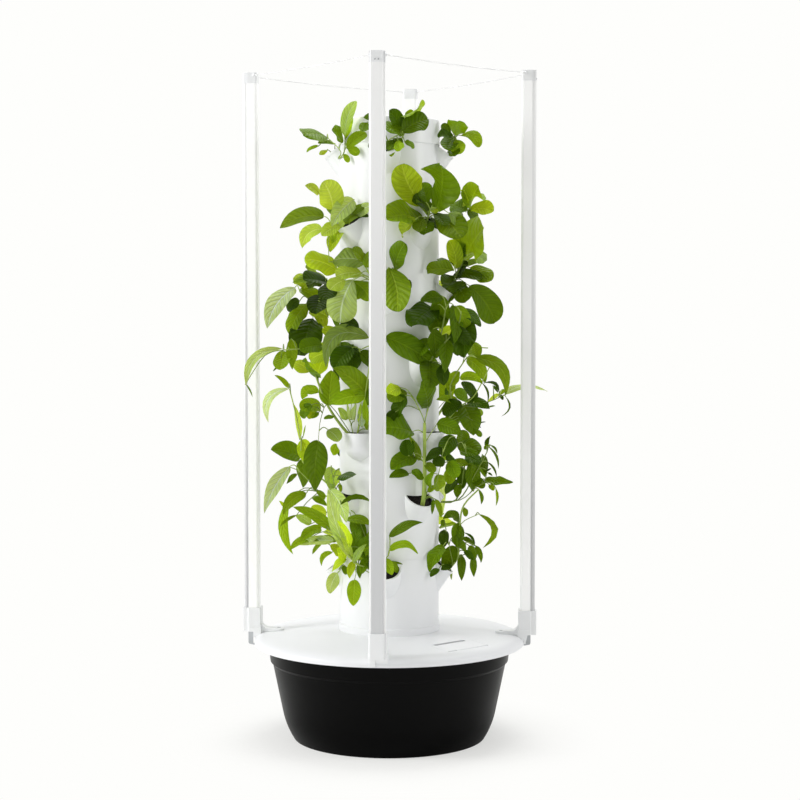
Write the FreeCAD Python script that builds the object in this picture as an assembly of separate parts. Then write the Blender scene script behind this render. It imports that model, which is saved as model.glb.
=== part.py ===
import FreeCAD, Part
import math
import os

# Vertical planter tower, millimetres, Z up, origin on the floor under the middle of the tub.
# The front light bar is on -Y, the right one on +X.

V = FreeCAD.Vector
UP = V(0, 0, 1)
O = V(0, 0, 0)

# General clearances
GAP = 0.3
RUN_GAP = 0.06

# Tub
TUB_BASE_R = 216.0
TUB_CORNER_R = 241.5
TUB_CORNER_Z = 62.0
TUB_EDGE_R = 4.0
TUB_WALL_TOP_R = 264.0
TUB_WALL_TOP_Z = 171.0
TUB_BAND_R = 269.5
TUB_BAND_Z = 177.0
TUB_TOP_R = 274.0
TUB_TOP_Z = 214.0
TUB_WALL = 3.5
TUB_FLOOR = 7.0
TUB_RECESS_R = 158.0
TUB_RECESS = 3.0
TUB_RIM_W = 7.5
TUB_RIM_H = 8.0

# Lid
LID_R = 305.0
LID_EDGE_H = 6.0
LID_ROLL_Z = 220.5
LID_ROLL_W = 37.0
LID_ROLL_H = 16.0
LID_SEAT_Z = 246.0
LID_WALL = 3.5
LID_HOLE_R = 94.0
LID_RIB_IN = 268.5
LID_RIB_W = 4.0
LID_SKIRT_R = 264.5
LID_SKIRT_W = 3.0
LID_SKIRT_DROP = 16.0
LID_RING_H = 12.0
LID_RING_W = 4.0

# Tower sections
TOWER_R = 112.0
TOWER_WALL = 3.0
BASE_TOP_Z = 416.0
SECTION_H = 306.0
SECTION_COUNT = 3
FOOT_R = 114.5
FOOT_H = 16.0
SPIGOT_W = 3.0
SPIGOT_UP = 10.0
SPIGOT_DOWN = 10.0
SEAM_W = 1.0

# Planting ports
PORT_OUT = 143.5
PORT_R = 34.0
PORT_WALL = 2.5
PORT_TILT = 35.0
PORT_LIP = 1.3
PORT_LIP_H = 5.0
PORTS_PER_ROW = 4
BASE_ROW_DROP = 40.0
LOW_ROW_RISE = 118.0
HIGH_ROW_RISE = 280.0
BASE_ROW_TURN = 0.0
SECTION_ROW_TURNS = ((40.0, -32.0), (45.0, 0.0), (45.0, 0.0))
UPRIGHT_ROW = 3
UPRIGHT_WALL = 28.0
UPRIGHT_CUP_DEPTH = 42.0

# Net cups and growing medium
CUP_DROP = 4.0
CUP_DEPTH = 50.0
CUP_WALL = 1.4
CUP_GAP = 0.6
CUP_TAPER = 8.0
CUP_SLOT_W = 3.0
CUP_SLOTS = 6
MEDIUM_DROP = 3.0

# Top cap
CAP_R = 113.5
CAP_H = 56.0
CAP_WALL = 3.0
CAP_EDGE = 3.0

# Distributor
DISH_R = 98.0
DISH_WALL = 2.0
DISH_H = 22.0
DISH_HOLE_R = 2.2
DISH_HOLE_RING = 78.0
DISH_HOLES = 20
DISH_HUB_R = 15.0
DISH_HUB_H = 14.0

# Riser pipe
RISER_R = 10.0
RISER_BORE = 8.0
RISER_RISE = 8.0

# Pump
PUMP_FOOT_R = 7.0
PUMP_FOOT_H = 6.0
PUMP_LONG = 56.0
PUMP_WIDE = 54.0
PUMP_HIGH = 48.0
VOLUTE_R = 26.0
VOLUTE_LONG = 26.0
VOLUTE_WALL = 4.0
NOZZLE_H = 26.0
NOZZLE_BORE = 5.5
IMPELLER_R = 17.0
IMPELLER_W = 12.0
IMPELLER_BLADES = 6
BLADE_T = 2.0
SHAFT_R = 2.0
SHAFT_LONG = 26.0
COVER_LONG = 16.0
COVER_WALL = 2.5
INTAKE_W = 3.0
INTAKE_STEP = 7.0

# Light bars, and where they stand round the lid
BAR_IN = 296.0
BAR_OUT = 329.0
BAR_SPLIT = 319.0
BAR_COVER_HALF = 17.0
BAR_FRONT_R = 6.0
HOUSING_BACK_HALF = 12.0
HOUSING_HALF = 13.2
HOUSING_WALL = 2.0
HOUSING_GROOVE = 1.2
HOUSING_GROOVE_W = 2.0
HOUSING_BACK = 3.0
COVER_LIP = 6.0
COVER_T = 1.6
BAR_TOP_Z = 1499.0
END_CAP_H = 24.0
BOARD_T = 1.6
BOARD_HALF = 9.5
BOARD_END = 14.0
CHIP = 3.2
CHIP_T = 1.0
CHIP_STEP = 26.0
CAP_SCREW_R = 1.6
CAP_SCREW_HEAD = 1.0
CAP_SCREW_DEEP = 8.0
CAP_SCREW_SET = 3.6
CAP_SCREW_DROP = 18.0
SIDES = (("right", 0.0), ("back", 85.0), ("left", 180.0), ("front", 270.0))
CLIP_SIDES = (0.0, 85.0, 180.0)

# Brackets
SOCKET_IN = 292.0
SOCKET_STEP = 321.0
SOCKET_OUT = 333.0
SOCKET_HALF = 19.5
SOCKET_BACK_HALF = 15.5
SOCKET_Z = 236.8
SOCKET_TOP = 291.0
SOCKET_FLOOR = 6.0
SOCKET_EDGE = 2.0
FOOT_HALF = 21.0
FOOT_RISE = 10.0
FOOT_DROP = 12.0
ARM_IN = 240.0
ARM_HALF = 12.5
ARM_TOP = 244.5
ARM_SWEEP = 18.0
LIP_IN = 305.6
LIP_T = 5.5
LIP_DROP = 20.0
LIP_FROM = -17.0
LIP_TO = -5.0
SCREW_AT = 253.0
SCREW_R = 2.0
SCREW_HEAD_R = 4.0
SCREW_HEAD_H = 2.0
SCREW_SINK_R = 5.2
SCREW_SINK = 2.6
SCREW_LONG = 24.0
CLIP_IN = 309.0
CLIP_OUT = 320.0
CLIP_T = 2.5
CLIP_PAD = 9.0
CLIP_BOTTOM = 212.0
CLIP_TOE = 5.0

# Tie cords
CORD_R = 1.0
CORD_DROP = 6.0
CORD_SAG = 3.0
CORD_EYE_R = 3.0
CORD_SET = 8.0

# Filling hatch, on the diagonal between the front and right bars
HATCH_TURN = -45.0
HATCH_IN = 206.0
HATCH_AXIS = 264.0
HATCH_HALF = 58.0
HATCH_GAP = 0.8
HATCH_LEDGE = 5.0
HATCH_LEDGE_T = 2.5
HINGE_R = 3.0
HINGE_DROP = 1.6
HINGE_PIN_R = 1.2
HINGE_LEAF_HALF = 24.0
HINGE_LUG = 12.0
SLOT_IN = 198.0
SLOT_OUT = 209.0
SLOT_HALF = 45.0

# Lead grommet in the tub's rim band
GROMMET_TURN = 90.0
GROMMET_Z = 187.5
GROMMET_R = 7.5
GROMMET_BORE = 4.0
GROMMET_LIP = 1.9
GROMMET_LIP_T = 3.0

# Plants: for each row, which plant stands in each port from the front one on, then the plants by
# leaves, leaf width, reach from the tower's middle, reach to both sides, lowest and highest leaf
LEAF_T = 1.6
STEM_R = 3.0
PLANT_SHIFT = 14.0
PLANT_CLEAR = 117.0
PLANT_TAPER = 0.3
PORT_CLEAR = 151.0
PORT_LOW = 23.0
PORT_HIGH = 58.0
GOLDEN = 137.5
PLANT_ROWS = (
    ((0, 1, 0, 1), (
        (13, 22.0, 205.0, -135.0, 75.0, -36.0, 108.0),
        (12, 20.0, 245.0, -80.0, 120.0, -10.0, 108.0),
    )),
    ((0, 1, 0, 2), (
        (12, 26.0, 190.0, -90.0, 60.0, -20.0, 118.0),
        (12, 24.0, 245.0, -130.0, 0.0, -12.0, 116.0),
        (13, 26.0, 265.0, -105.0, 70.0, -38.0, 118.0),
    )),
    ((0, 1, 0, 1), (
        (13, 32.0, 265.0, -130.0, 55.0, -20.0, 98.0),
        (12, 30.0, 305.0, -15.0, 130.0, -20.0, 98.0),
    )),
    ((0, 1, 0, 1), (
        (13, 36.0, 210.0, -80.0, 75.0, -36.0, 114.0),
        (11, 34.0, 310.0, -100.0, 70.0, -38.0, 88.0),
    )),
    ((0, 1, 0, 2), (
        (11, 46.0, 190.0, -105.0, 60.0, -38.0, 96.0),
        (11, 44.0, 240.0, -95.0, 60.0, -38.0, 98.0),
        (12, 42.0, 255.0, -10.0, 100.0, -38.0, 76.0),
    )),
    ((0, 1, 0, 1), (
        (10, 50.0, 225.0, -95.0, 55.0, -22.0, 116.0),
        (11, 40.0, 220.0, -100.0, 60.0, -38.0, 98.0),
    )),
    ((0, 1, 0, 2), (
        (10, 30.0, 168.0, -80.0, 70.0, -14.0, 112.0),
        (8, 26.0, 198.0, -55.0, 15.0, -6.0, 78.0),
        (9, 30.0, 188.0, -14.0, 85.0, -12.0, 68.0),
    )),
)

os.makedirs("parts", exist_ok=True)


def save(shape, node):
    shape.exportStep("parts/" + node + ".step")


def turned(shape, angle):
    copy = shape.copy()
    copy.rotate(O, UP, angle)
    return copy


def tube(outer, inner, low, high):
    body = Part.makeCylinder(outer, high - low, V(0, 0, low))
    if inner > 0:
        body = body.cut(Part.makeCylinder(inner, high - low, V(0, 0, low)))
    return body


def block(x0, x1, y0, y1, z0, z1):
    return Part.makeBox(x1 - x0, y1 - y0, z1 - z0, V(x0, y0, z0))


def profile_wire(steps):
    # Steps are ("line", point) or ("arc", middle, end), as (r, z) pairs
    edges = []
    start = V(steps[0][1][0], 0, steps[0][1][1])
    here = start
    for step in steps[1:]:
        end = V(step[-1][0], 0, step[-1][1])
        if step[0] == "line":
            edges.append(Part.makeLine(here, end))
        elif step[0] == "arc":
            middle = V(step[1][0], 0, step[1][1])
            edges.append(Part.Arc(here, middle, end).toShape())
        here = end
    if here.distanceToPoint(start) > 1e-6:
        edges.append(Part.makeLine(here, start))
    return Part.Wire(edges)


def lathe(steps):
    face = Part.Face(profile_wire(steps))
    return face.revolve(O, UP, 360)


def prism_z(points, low, high):
    corners = [V(x, y, low) for x, y in points]
    corners.append(corners[0])
    face = Part.Face(Part.makePolygon(corners))
    return face.extrude(V(0, 0, high - low))


def prism_y(points, low, high):
    corners = [V(x, low, z) for x, z in points]
    corners.append(corners[0])
    face = Part.Face(Part.makePolygon(corners))
    return face.extrude(V(0, high - low, 0))


def joined(shapes):
    body = shapes[0]
    if len(shapes) > 1:
        body = body.multiFuse(shapes[1:])
    return body.removeSplitter()


# Tub

def arc_middle(start, end, onward):
    # Middle of the arc that leads from start to end and runs on straight towards onward
    chord = math.atan2(end[1] - start[1], end[0] - start[0])
    way = math.atan2(onward[1] - end[1], onward[0] - end[0])
    rise = math.hypot(end[0] - start[0], end[1] - start[1]) / 2 * math.tan((way - chord) / 2)
    middle_r = (start[0] + end[0]) / 2 + rise * math.sin(chord)
    return middle_r, (start[1] + end[1]) / 2 - rise * math.cos(chord)


def make_tub():
    corner = (TUB_CORNER_R, TUB_CORNER_Z)
    corner_mid = arc_middle((TUB_BASE_R, 0), corner, (TUB_WALL_TOP_R, TUB_WALL_TOP_Z))
    inner_corner = (TUB_CORNER_R - TUB_WALL, TUB_CORNER_Z)
    inner_top = (TUB_WALL_TOP_R - TUB_WALL, TUB_WALL_TOP_Z + 1.0)
    rim_in = TUB_TOP_R - TUB_RIM_W
    floor_r = TUB_BASE_R - TUB_WALL
    inner_mid = arc_middle((floor_r, TUB_FLOOR), inner_corner, inner_top)
    body = lathe([
        ("start", (0, TUB_RECESS)),
        ("line", (TUB_RECESS_R, TUB_RECESS)),
        ("line", (TUB_RECESS_R + TUB_RECESS, 0)),
        ("line", (TUB_BASE_R, 0)),
        ("arc", corner_mid, corner),
        ("line", (TUB_WALL_TOP_R, TUB_WALL_TOP_Z)),
        ("line", (TUB_BAND_R - 1.0, TUB_BAND_Z - 1.0)),
        ("line", (TUB_BAND_R, TUB_BAND_Z)),
        ("line", (TUB_TOP_R, TUB_TOP_Z)),
        ("line", (rim_in, TUB_TOP_Z)),
        ("line", (rim_in, TUB_TOP_Z - TUB_RIM_H)),
        ("line", (TUB_TOP_R - TUB_WALL, TUB_TOP_Z - TUB_RIM_H - 4.0)),
        ("line", (TUB_BAND_R - TUB_WALL, TUB_BAND_Z + TUB_WALL)),
        ("line", inner_top),
        ("line", inner_corner),
        ("arc", inner_mid, (floor_r, TUB_FLOOR)),
        ("line", (0, TUB_FLOOR)),
    ])
    foot = [e for e in body.Edges if e.BoundBox.ZMax < 0.1 and e.BoundBox.XMax > TUB_BASE_R - 1]
    body = body.makeFillet(TUB_EDGE_R, foot)
    hole = Part.makeCylinder(GROMMET_R, 40, V(TUB_TOP_R - 25, 0, GROMMET_Z), V(1, 0, 0))
    return body.cut(turned(hole, GROMMET_TURN))


def make_grommet():
    lip = GROMMET_R + GROMMET_LIP
    lean = (TUB_TOP_R - TUB_BAND_R) / (TUB_TOP_Z - TUB_BAND_Z)
    out = TUB_BAND_R + lean * (GROMMET_Z + lip - TUB_BAND_Z)
    low_r = TUB_BAND_R + lean * (GROMMET_Z - lip - TUB_BAND_Z) - TUB_WALL
    inside = math.sqrt(low_r ** 2 - lip ** 2) - 1.5
    body = Part.makeCylinder(GROMMET_R - 0.05, out - inside, V(inside, 0, GROMMET_Z), V(1, 0, 0))
    outer_lip = Part.makeCylinder(lip, GROMMET_LIP_T, V(out, 0, GROMMET_Z), V(1, 0, 0))
    inner_lip = Part.makeCylinder(lip, GROMMET_LIP_T, V(inside - GROMMET_LIP_T, 0, GROMMET_Z), V(1, 0, 0))
    bore = Part.makeCylinder(GROMMET_BORE, 60, V(inside - 20, 0, GROMMET_Z), V(1, 0, 0))
    return turned(joined([body, outer_lip, inner_lip]).cut(bore), GROMMET_TURN)


# Lid

def lid_section(lift):
    # Outer surface of the lid raised by lift, closed down to the level of its edge
    middle = LID_R - LID_ROLL_W
    top = LID_ROLL_Z + LID_ROLL_H + lift
    width = LID_ROLL_W + lift
    height = LID_ROLL_H + lift
    edge = [V(middle, 0, top)]
    for i in (1, 2, 3, 4):
        t = math.pi / 2 * (1 - i / 4)
        edge.append(V(middle + width * math.cos(t), 0, LID_ROLL_Z + height * math.sin(t)))
    curve = Part.BSplineCurve()
    slope = (LID_ROLL_Z + LID_ROLL_H - LID_SEAT_Z) / (middle - FOOT_R - 2.0)
    curve.interpolate(Points=edge, InitialTangent=V(1, 0, slope) * 40, FinalTangent=V(0, 0, -1) * 25)
    return curve


def lid_solid(lift, low, inner_r):
    middle = LID_R - LID_ROLL_W
    seat_r = FOOT_R + 2.0
    curve = lid_section(lift)
    ends = curve.StartPoint, curve.EndPoint
    edges = [
        Part.makeLine(V(inner_r, 0, low), V(inner_r, 0, LID_SEAT_Z + lift)),
        Part.makeLine(V(inner_r, 0, LID_SEAT_Z + lift), V(seat_r, 0, LID_SEAT_Z + lift)),
        Part.makeLine(V(seat_r, 0, LID_SEAT_Z + lift), ends[0]),
        curve.toShape(),
        Part.makeLine(ends[1], V(LID_R + lift, 0, low)),
        Part.makeLine(V(LID_R + lift, 0, low), V(inner_r, 0, low)),
    ]
    return Part.Face(Part.Wire(edges)).revolve(O, UP, 360)


def hatch_window(inner, outer, half):
    return turned(block(inner, outer, -half, half, TUB_TOP_Z, LID_SEAT_Z + 20), HATCH_TURN)


def lid_surface_z(r):
    middle = LID_R - LID_ROLL_W
    seat_r = FOOT_R + 2.0
    part = (r - seat_r) / (middle - seat_r)
    return LID_SEAT_Z + part * (LID_ROLL_Z + LID_ROLL_H - LID_SEAT_Z)


LID_LOW = LID_ROLL_Z - LID_EDGE_H
HINGE_Z = lid_surface_z(HATCH_AXIS) - HINGE_DROP


def make_lid():
    outer = lid_solid(0.0, LID_LOW, LID_HOLE_R)
    inner = lid_solid(-LID_WALL, LID_LOW, LID_HOLE_R - 1)
    shell = outer.cut(inner)
    under = lid_solid(-LID_WALL / 2, TUB_TOP_Z - 40, LID_HOLE_R)
    rib = tube(LID_RIB_IN + LID_RIB_W, LID_RIB_IN, TUB_TOP_Z, LID_SEAT_Z).common(under)
    skirt_low = TUB_TOP_Z - LID_SKIRT_DROP
    skirt = tube(LID_SKIRT_R, LID_SKIRT_R - LID_SKIRT_W, skirt_low, LID_SEAT_Z).common(under)
    ring_r = TOWER_R - TOWER_WALL - GAP
    ring = tube(ring_r, ring_r - LID_RING_W, LID_SEAT_Z - LID_WALL, LID_SEAT_Z + LID_RING_H)
    body = joined([shell, rib, skirt, ring])
    # Filling opening with a ledge round it, open at the finger slot
    ledge_out = HATCH_AXIS - HINGE_R - 5
    ledge_block = hatch_window(HATCH_IN - HATCH_GAP - 3, ledge_out, HATCH_HALF + HATCH_GAP + 3)
    ledge_top = lid_solid(-LID_WALL - GAP, TUB_TOP_Z, LID_HOLE_R)
    ledge_low = lid_solid(-LID_WALL - GAP - HATCH_LEDGE_T, TUB_TOP_Z - 1, LID_HOLE_R - 1)
    frame_top = lid_solid(-LID_WALL / 2, TUB_TOP_Z, LID_HOLE_R)
    frame = frame_top.cut(ledge_low).common(ledge_block)
    inner_half = HATCH_HALF - HATCH_LEDGE
    frame = frame.cut(hatch_window(HATCH_IN + HATCH_LEDGE, LID_R, inner_half))
    window = hatch_window(HATCH_IN - HATCH_GAP, HATCH_AXIS + HATCH_GAP, HATCH_HALF + HATCH_GAP)
    body = body.fuse(frame).cut(window.cut(ledge_top))
    body = body.cut(hatch_window(HATCH_IN + HATCH_LEDGE, HATCH_AXIS - 2, inner_half))
    slot = hatch_window(SLOT_IN, SLOT_OUT, SLOT_HALF)
    body = body.cut(slot)
    # Two hinge lugs with the pin's bores
    lugs = []
    for side in (-1, 1):
        near = side * (HINGE_LEAF_HALF + GAP)
        far = side * (HINGE_LEAF_HALF + GAP + HINGE_LUG)
        low, high = min(near, far), max(near, far)
        barrel = Part.makeCylinder(HINGE_R, high - low, V(HATCH_AXIS, low, HINGE_Z), V(0, 1, 0))
        web = block(HATCH_AXIS - 1.0, HATCH_AXIS + 9, low, high, HINGE_Z - HINGE_R, HINGE_Z + 1.0)
        lugs.append(turned(barrel.fuse(web), HATCH_TURN))
    clear = block(HATCH_AXIS - HINGE_R - 1, HATCH_AXIS + HINGE_R + GAP, -HINGE_LEAF_HALF - GAP,
                  HINGE_LEAF_HALF + GAP, HINGE_Z - HINGE_R - 1, HINGE_Z + 20)
    body = body.cut(turned(clear, HATCH_TURN))
    body = joined([body] + lugs)
    span = HINGE_LEAF_HALF + GAP + HINGE_LUG
    bore = Part.makeCylinder(HINGE_PIN_R, 2 * span, V(HATCH_AXIS, -span, HINGE_Z), V(0, 1, 0))
    body = body.cut(turned(bore, HATCH_TURN))
    for side, angle in SIDES:
        hole = Part.makeCylinder(SCREW_R, 40, V(SCREW_AT, 0, TUB_TOP_Z))
        body = body.cut(turned(hole, angle))
    return body


def make_hatch():
    plate = lid_solid(0.0, TUB_TOP_Z, LID_HOLE_R).cut(lid_solid(-LID_WALL, TUB_TOP_Z, LID_HOLE_R))
    plate = plate.common(hatch_window(HATCH_IN, HATCH_AXIS - HINGE_R - 0.5, HATCH_HALF))
    leaf_half = HINGE_LEAF_HALF - GAP
    barrel = Part.makeCylinder(HINGE_R, 2 * leaf_half, V(HATCH_AXIS, -leaf_half, HINGE_Z), V(0, 1, 0))
    web = block(HATCH_AXIS - HINGE_R - 3, HATCH_AXIS, -leaf_half, leaf_half, HINGE_Z - 2.0, HINGE_Z + 1.0)
    pieces = [plate, turned(barrel, HATCH_TURN), turned(web, HATCH_TURN)]
    body = joined(pieces)
    low = V(HATCH_AXIS, -HATCH_HALF, HINGE_Z)
    bore = Part.makeCylinder(HINGE_PIN_R + RUN_GAP, 2 * HATCH_HALF, low, V(0, 1, 0))
    body = body.cut(turned(bore, HATCH_TURN))
    lift = hatch_window(SLOT_IN, SLOT_OUT, SLOT_HALF)
    return body.cut(lift)


def make_hatch_pin():
    span = HINGE_LEAF_HALF + GAP + HINGE_LUG
    pin = Part.makeCylinder(HINGE_PIN_R, 2 * span, V(HATCH_AXIS, -span, HINGE_Z), V(0, 1, 0))
    return turned(pin, HATCH_TURN)


# Planting rows: lip height, turn in degrees from the front, and whether the cups stand upright

def planting_rows():
    rows = [(BASE_TOP_Z - BASE_ROW_DROP, BASE_ROW_TURN)]
    for index in range(SECTION_COUNT):
        bottom = BASE_TOP_Z + index * SECTION_H
        low_turn, high_turn = SECTION_ROW_TURNS[index]
        rows.append((bottom + LOW_ROW_RISE, low_turn))
        rows.append((bottom + HIGH_ROW_RISE, high_turn))
    return rows


ROWS = planting_rows()


def row_angles(number):
    turn = ROWS[number - 1][1]
    return [-90.0 + turn + i * 360.0 / PORTS_PER_ROW for i in range(PORTS_PER_ROW)]


def port_axis(number):
    # Outward and upward parts of the cup's axis
    if number == UPRIGHT_ROW:
        return V(0, 0, 1)
    tilt = math.radians(PORT_TILT)
    return V(math.sin(tilt), 0, math.cos(tilt))


def port_centre(number):
    # Middle of the rim's circle, for a port that looks along +X
    lip = ROWS[number - 1][0]
    axis = port_axis(number)
    return V(PORT_OUT - PORT_R * axis.z, 0, lip + PORT_R * axis.x)


def port_outer(number):
    axis = port_axis(number)
    centre = port_centre(number)
    if number == UPRIGHT_ROW:
        low = centre - axis * UPRIGHT_WALL
        wall = Part.makeCylinder(PORT_R, UPRIGHT_WALL, low, axis)
        body = wall.fuse(Part.makeSphere(PORT_R, low, axis, -90, 0, 360))
    else:
        length = 2.6 * PORT_R
        body = Part.makeCylinder(PORT_R, length, centre - axis * length, axis)
    lip = Part.makeCylinder(PORT_R + PORT_LIP, PORT_LIP_H, centre - axis * PORT_LIP_H, axis)
    return body.fuse(lip)


def port_bore(number):
    axis = port_axis(number)
    centre = port_centre(number)
    radius = PORT_R - PORT_WALL
    if number == UPRIGHT_ROW:
        low = centre - axis * UPRIGHT_WALL
        wall = Part.makeCylinder(radius, UPRIGHT_WALL, low, axis)
        return wall.fuse(Part.makeSphere(radius, low, axis, -90, 0, 360))
    length = 2.6 * PORT_R + 10
    return Part.makeCylinder(radius, length, centre - axis * length, axis)


def spigot(top):
    inner = TOWER_R - TOWER_WALL
    low = tube(inner + 1.0, inner - GAP - SPIGOT_W, top - SPIGOT_DOWN, top)
    high = tube(inner - GAP, inner - GAP - SPIGOT_W, top - 1, top + SPIGOT_UP)
    return low.fuse(high)


def make_section(low, high, numbers, foot):
    inner = TOWER_R - TOWER_WALL
    shell = tube(TOWER_R, inner, low, high)
    pieces = [shell, spigot(high)]
    if foot:
        ring = lathe([
            ("start", (inner, low)),
            ("line", (FOOT_R, low)),
            ("line", (FOOT_R, low + FOOT_H - 1.5)),
            ("line", (FOOT_R - 1.5, low + FOOT_H)),
            ("line", (inner, low + FOOT_H)),
        ])
        pieces.append(ring)
    core = Part.makeCylinder(inner + 0.5, high - low + 80, V(0, 0, low - 40))
    bores = []
    for number in numbers:
        outer = port_outer(number).cut(core)
        bore = port_bore(number)
        for angle in row_angles(number):
            pieces.append(turned(outer, angle))
            bores.append(turned(bore, angle))
    body = joined(pieces)
    for bore in bores:
        body = body.cut(bore)
    # Narrow step that shows as the seam above this section, and nothing outside the wall past it
    step = tube(TOWER_R + 1, TOWER_R - SEAM_W, high - SEAM_W, high)
    above = tube(PORT_OUT, inner, high, high + PORT_R)
    return body.cut(step).cut(above)


def cup_depth(number):
    return UPRIGHT_CUP_DEPTH if number == UPRIGHT_ROW else CUP_DEPTH


def net_cup(number):
    axis = port_axis(number)
    top = port_centre(number) - axis * CUP_DROP
    outer_r = PORT_R - PORT_WALL - CUP_GAP
    length = cup_depth(number)
    low = top - axis * length
    low_r = outer_r - CUP_TAPER
    outer = Part.makeCone(low_r, outer_r, length, low, axis)
    inner = Part.makeCone(low_r - CUP_WALL, outer_r - CUP_WALL, length, low + axis * CUP_WALL, axis)
    cup = outer.cut(inner)
    floor = low + axis * (length * 0.12)
    for i in range(CUP_SLOTS):
        corner = V(CUP_WALL + low_r * 0.6, -CUP_SLOT_W / 2, 0)
        slot = Part.makeBox(2 * outer_r, CUP_SLOT_W, length * 0.6, corner)
        slot.rotate(O, UP, i * 360.0 / CUP_SLOTS)
        slot.Placement = FreeCAD.Placement(floor, FreeCAD.Rotation(UP, axis)).multiply(slot.Placement)
        cup = cup.cut(slot)
    return cup


def medium_top(number):
    return port_centre(number) - port_axis(number) * (CUP_DROP + MEDIUM_DROP)


def medium(number):
    axis = port_axis(number)
    top = port_centre(number) - axis * CUP_DROP
    outer_r = PORT_R - PORT_WALL - CUP_GAP
    length = cup_depth(number)
    low = top - axis * (length - CUP_WALL - GAP)
    span = length - CUP_WALL - GAP - MEDIUM_DROP
    low_r = outer_r - CUP_TAPER - CUP_WALL - GAP
    rate = CUP_TAPER / length
    return Part.makeCone(low_r, low_r + rate * span, span, low, axis)


# Plants

def leaf_across(base, tip):
    across = (tip - base).cross(UP)
    if across.Length < 1.0:
        across = V(0, 1, 0)
    return across.normalize()


def leaf(base, tip, width):
    # Flat leaf with two curved edges
    direction = tip - base
    length = direction.Length
    across = leaf_across(base, tip)
    flat = across.cross(direction)
    lens = Part.Wire([
        Part.Arc(V(0, 0, 0), V(length * 0.5, width / 2, 0), V(length, 0, 0)).toShape(),
        Part.Arc(V(length, 0, 0), V(length * 0.5, -width / 2, 0), V(0, 0, 0)).toShape(),
    ])
    plate = Part.Face(lens).extrude(V(0, 0, LEAF_T))
    plate.translate(V(0, 0, -LEAF_T / 2))
    plate.Placement = FreeCAD.Placement(base, FreeCAD.Rotation(direction, across, flat, "XZY"))
    return plate


def leaf_move(base, tip, width, lip):
    # How the tip has to move for the leaf to pass the tower and the ports, or None
    across = leaf_across(base, tip)
    for share in (0.15, 0.3, 0.5, 0.7, 0.85, 1.0):
        spot = base + (tip - base) * share
        half = across * (2 * width * share * (1 - share) + 2.0)
        for edge in (spot + half, spot - half):
            near = math.hypot(edge.x, edge.y)
            rise = edge.z - lip
            if near < PORT_CLEAR and rise < PORT_LOW:
                return V(4, 0, 5)
            if near < PLANT_CLEAR or (near < PORT_CLEAR and rise > PORT_HIGH):
                return V(5, 0, 0)
            if abs(edge.y) > abs(edge.x) * 0.95:
                return V(4, -4 if edge.y > 0 else 4, 0)
    return None


def leaf_set(number, plan):
    # Root, stem top and each leaf's base and tip, for a port along +X
    count, width, reach, low_side, high_side, low, high = plan
    lip = ROWS[number - 1][0]
    axis = port_axis(number)
    root = medium_top(number) + V(axis.z, 0, -axis.x) * PLANT_SHIFT
    middle = (low_side + high_side) / 2
    half = (high_side - low_side) / 2
    top = V(root.x + (reach - root.x) * 0.42, middle * 0.6, lip + low + (high - low) * 0.7)
    inner = PLANT_CLEAR + width / 2
    leaves = []
    for i in range(count):
        share = (i + 0.5) / count
        around = math.radians(i * GOLDEN)
        slim = 1 - PLANT_TAPER * abs(2 * share - 1)
        far = inner + (reach - inner) * (0.55 + 0.45 * math.cos(around)) * slim
        tip = V(far, middle + half * math.sin(around) * slim, lip + low + (high - low) * share)
        base = root + (top - root) * (0.32 + 0.66 * share)
        move = leaf_move(base, tip, width, lip)
        tries = 0
        while move and tries < 30:
            tip = tip + move
            tries += 1
            move = leaf_move(base, tip, width, lip)
        leaves.append((base, tip))
    return root, top, leaves


def plant(number, plan):
    root, top, leaves = leaf_set(number, plan)
    grow = (top - root).normalize()
    below = 4 * STEM_R
    stalk = Part.makeCylinder(STEM_R, (top - root).Length + below, root - grow * below, grow)
    above = Part.makeCylinder(200, 400, medium_top(number), port_axis(number))
    pieces = [stalk.common(above)]
    for base, tip in leaves:
        pieces.append(leaf(base, tip, plan[1]))
    return joined(pieces)


def row_of_plants(number):
    order, plans = PLANT_ROWS[number - 1]
    plants = [plant(number, plan) for plan in plans]
    return Part.makeCompound([turned(plants[k], angle) for k, angle in zip(order, row_angles(number))])


# Cap, distributor and riser

TOWER_TOP = BASE_TOP_Z + SECTION_COUNT * SECTION_H


def make_cap():
    low = TOWER_TOP
    high = TOWER_TOP + CAP_H
    inner = TOWER_R - TOWER_WALL + GAP
    bulge = CAP_EDGE * (1 - math.sqrt(0.5))
    body = lathe([
        ("start", (0, high)),
        ("line", (CAP_R - CAP_EDGE, high)),
        ("arc", (CAP_R - bulge, high - bulge), (CAP_R, high - CAP_EDGE)),
        ("line", (CAP_R, low + 0.8)),
        ("line", (CAP_R - 0.8, low)),
        ("line", (inner, low)),
        ("line", (inner, high - CAP_WALL - 3)),
        ("line", (inner - 3, high - CAP_WALL)),
        ("line", (0, high - CAP_WALL)),
    ])
    return body


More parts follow.
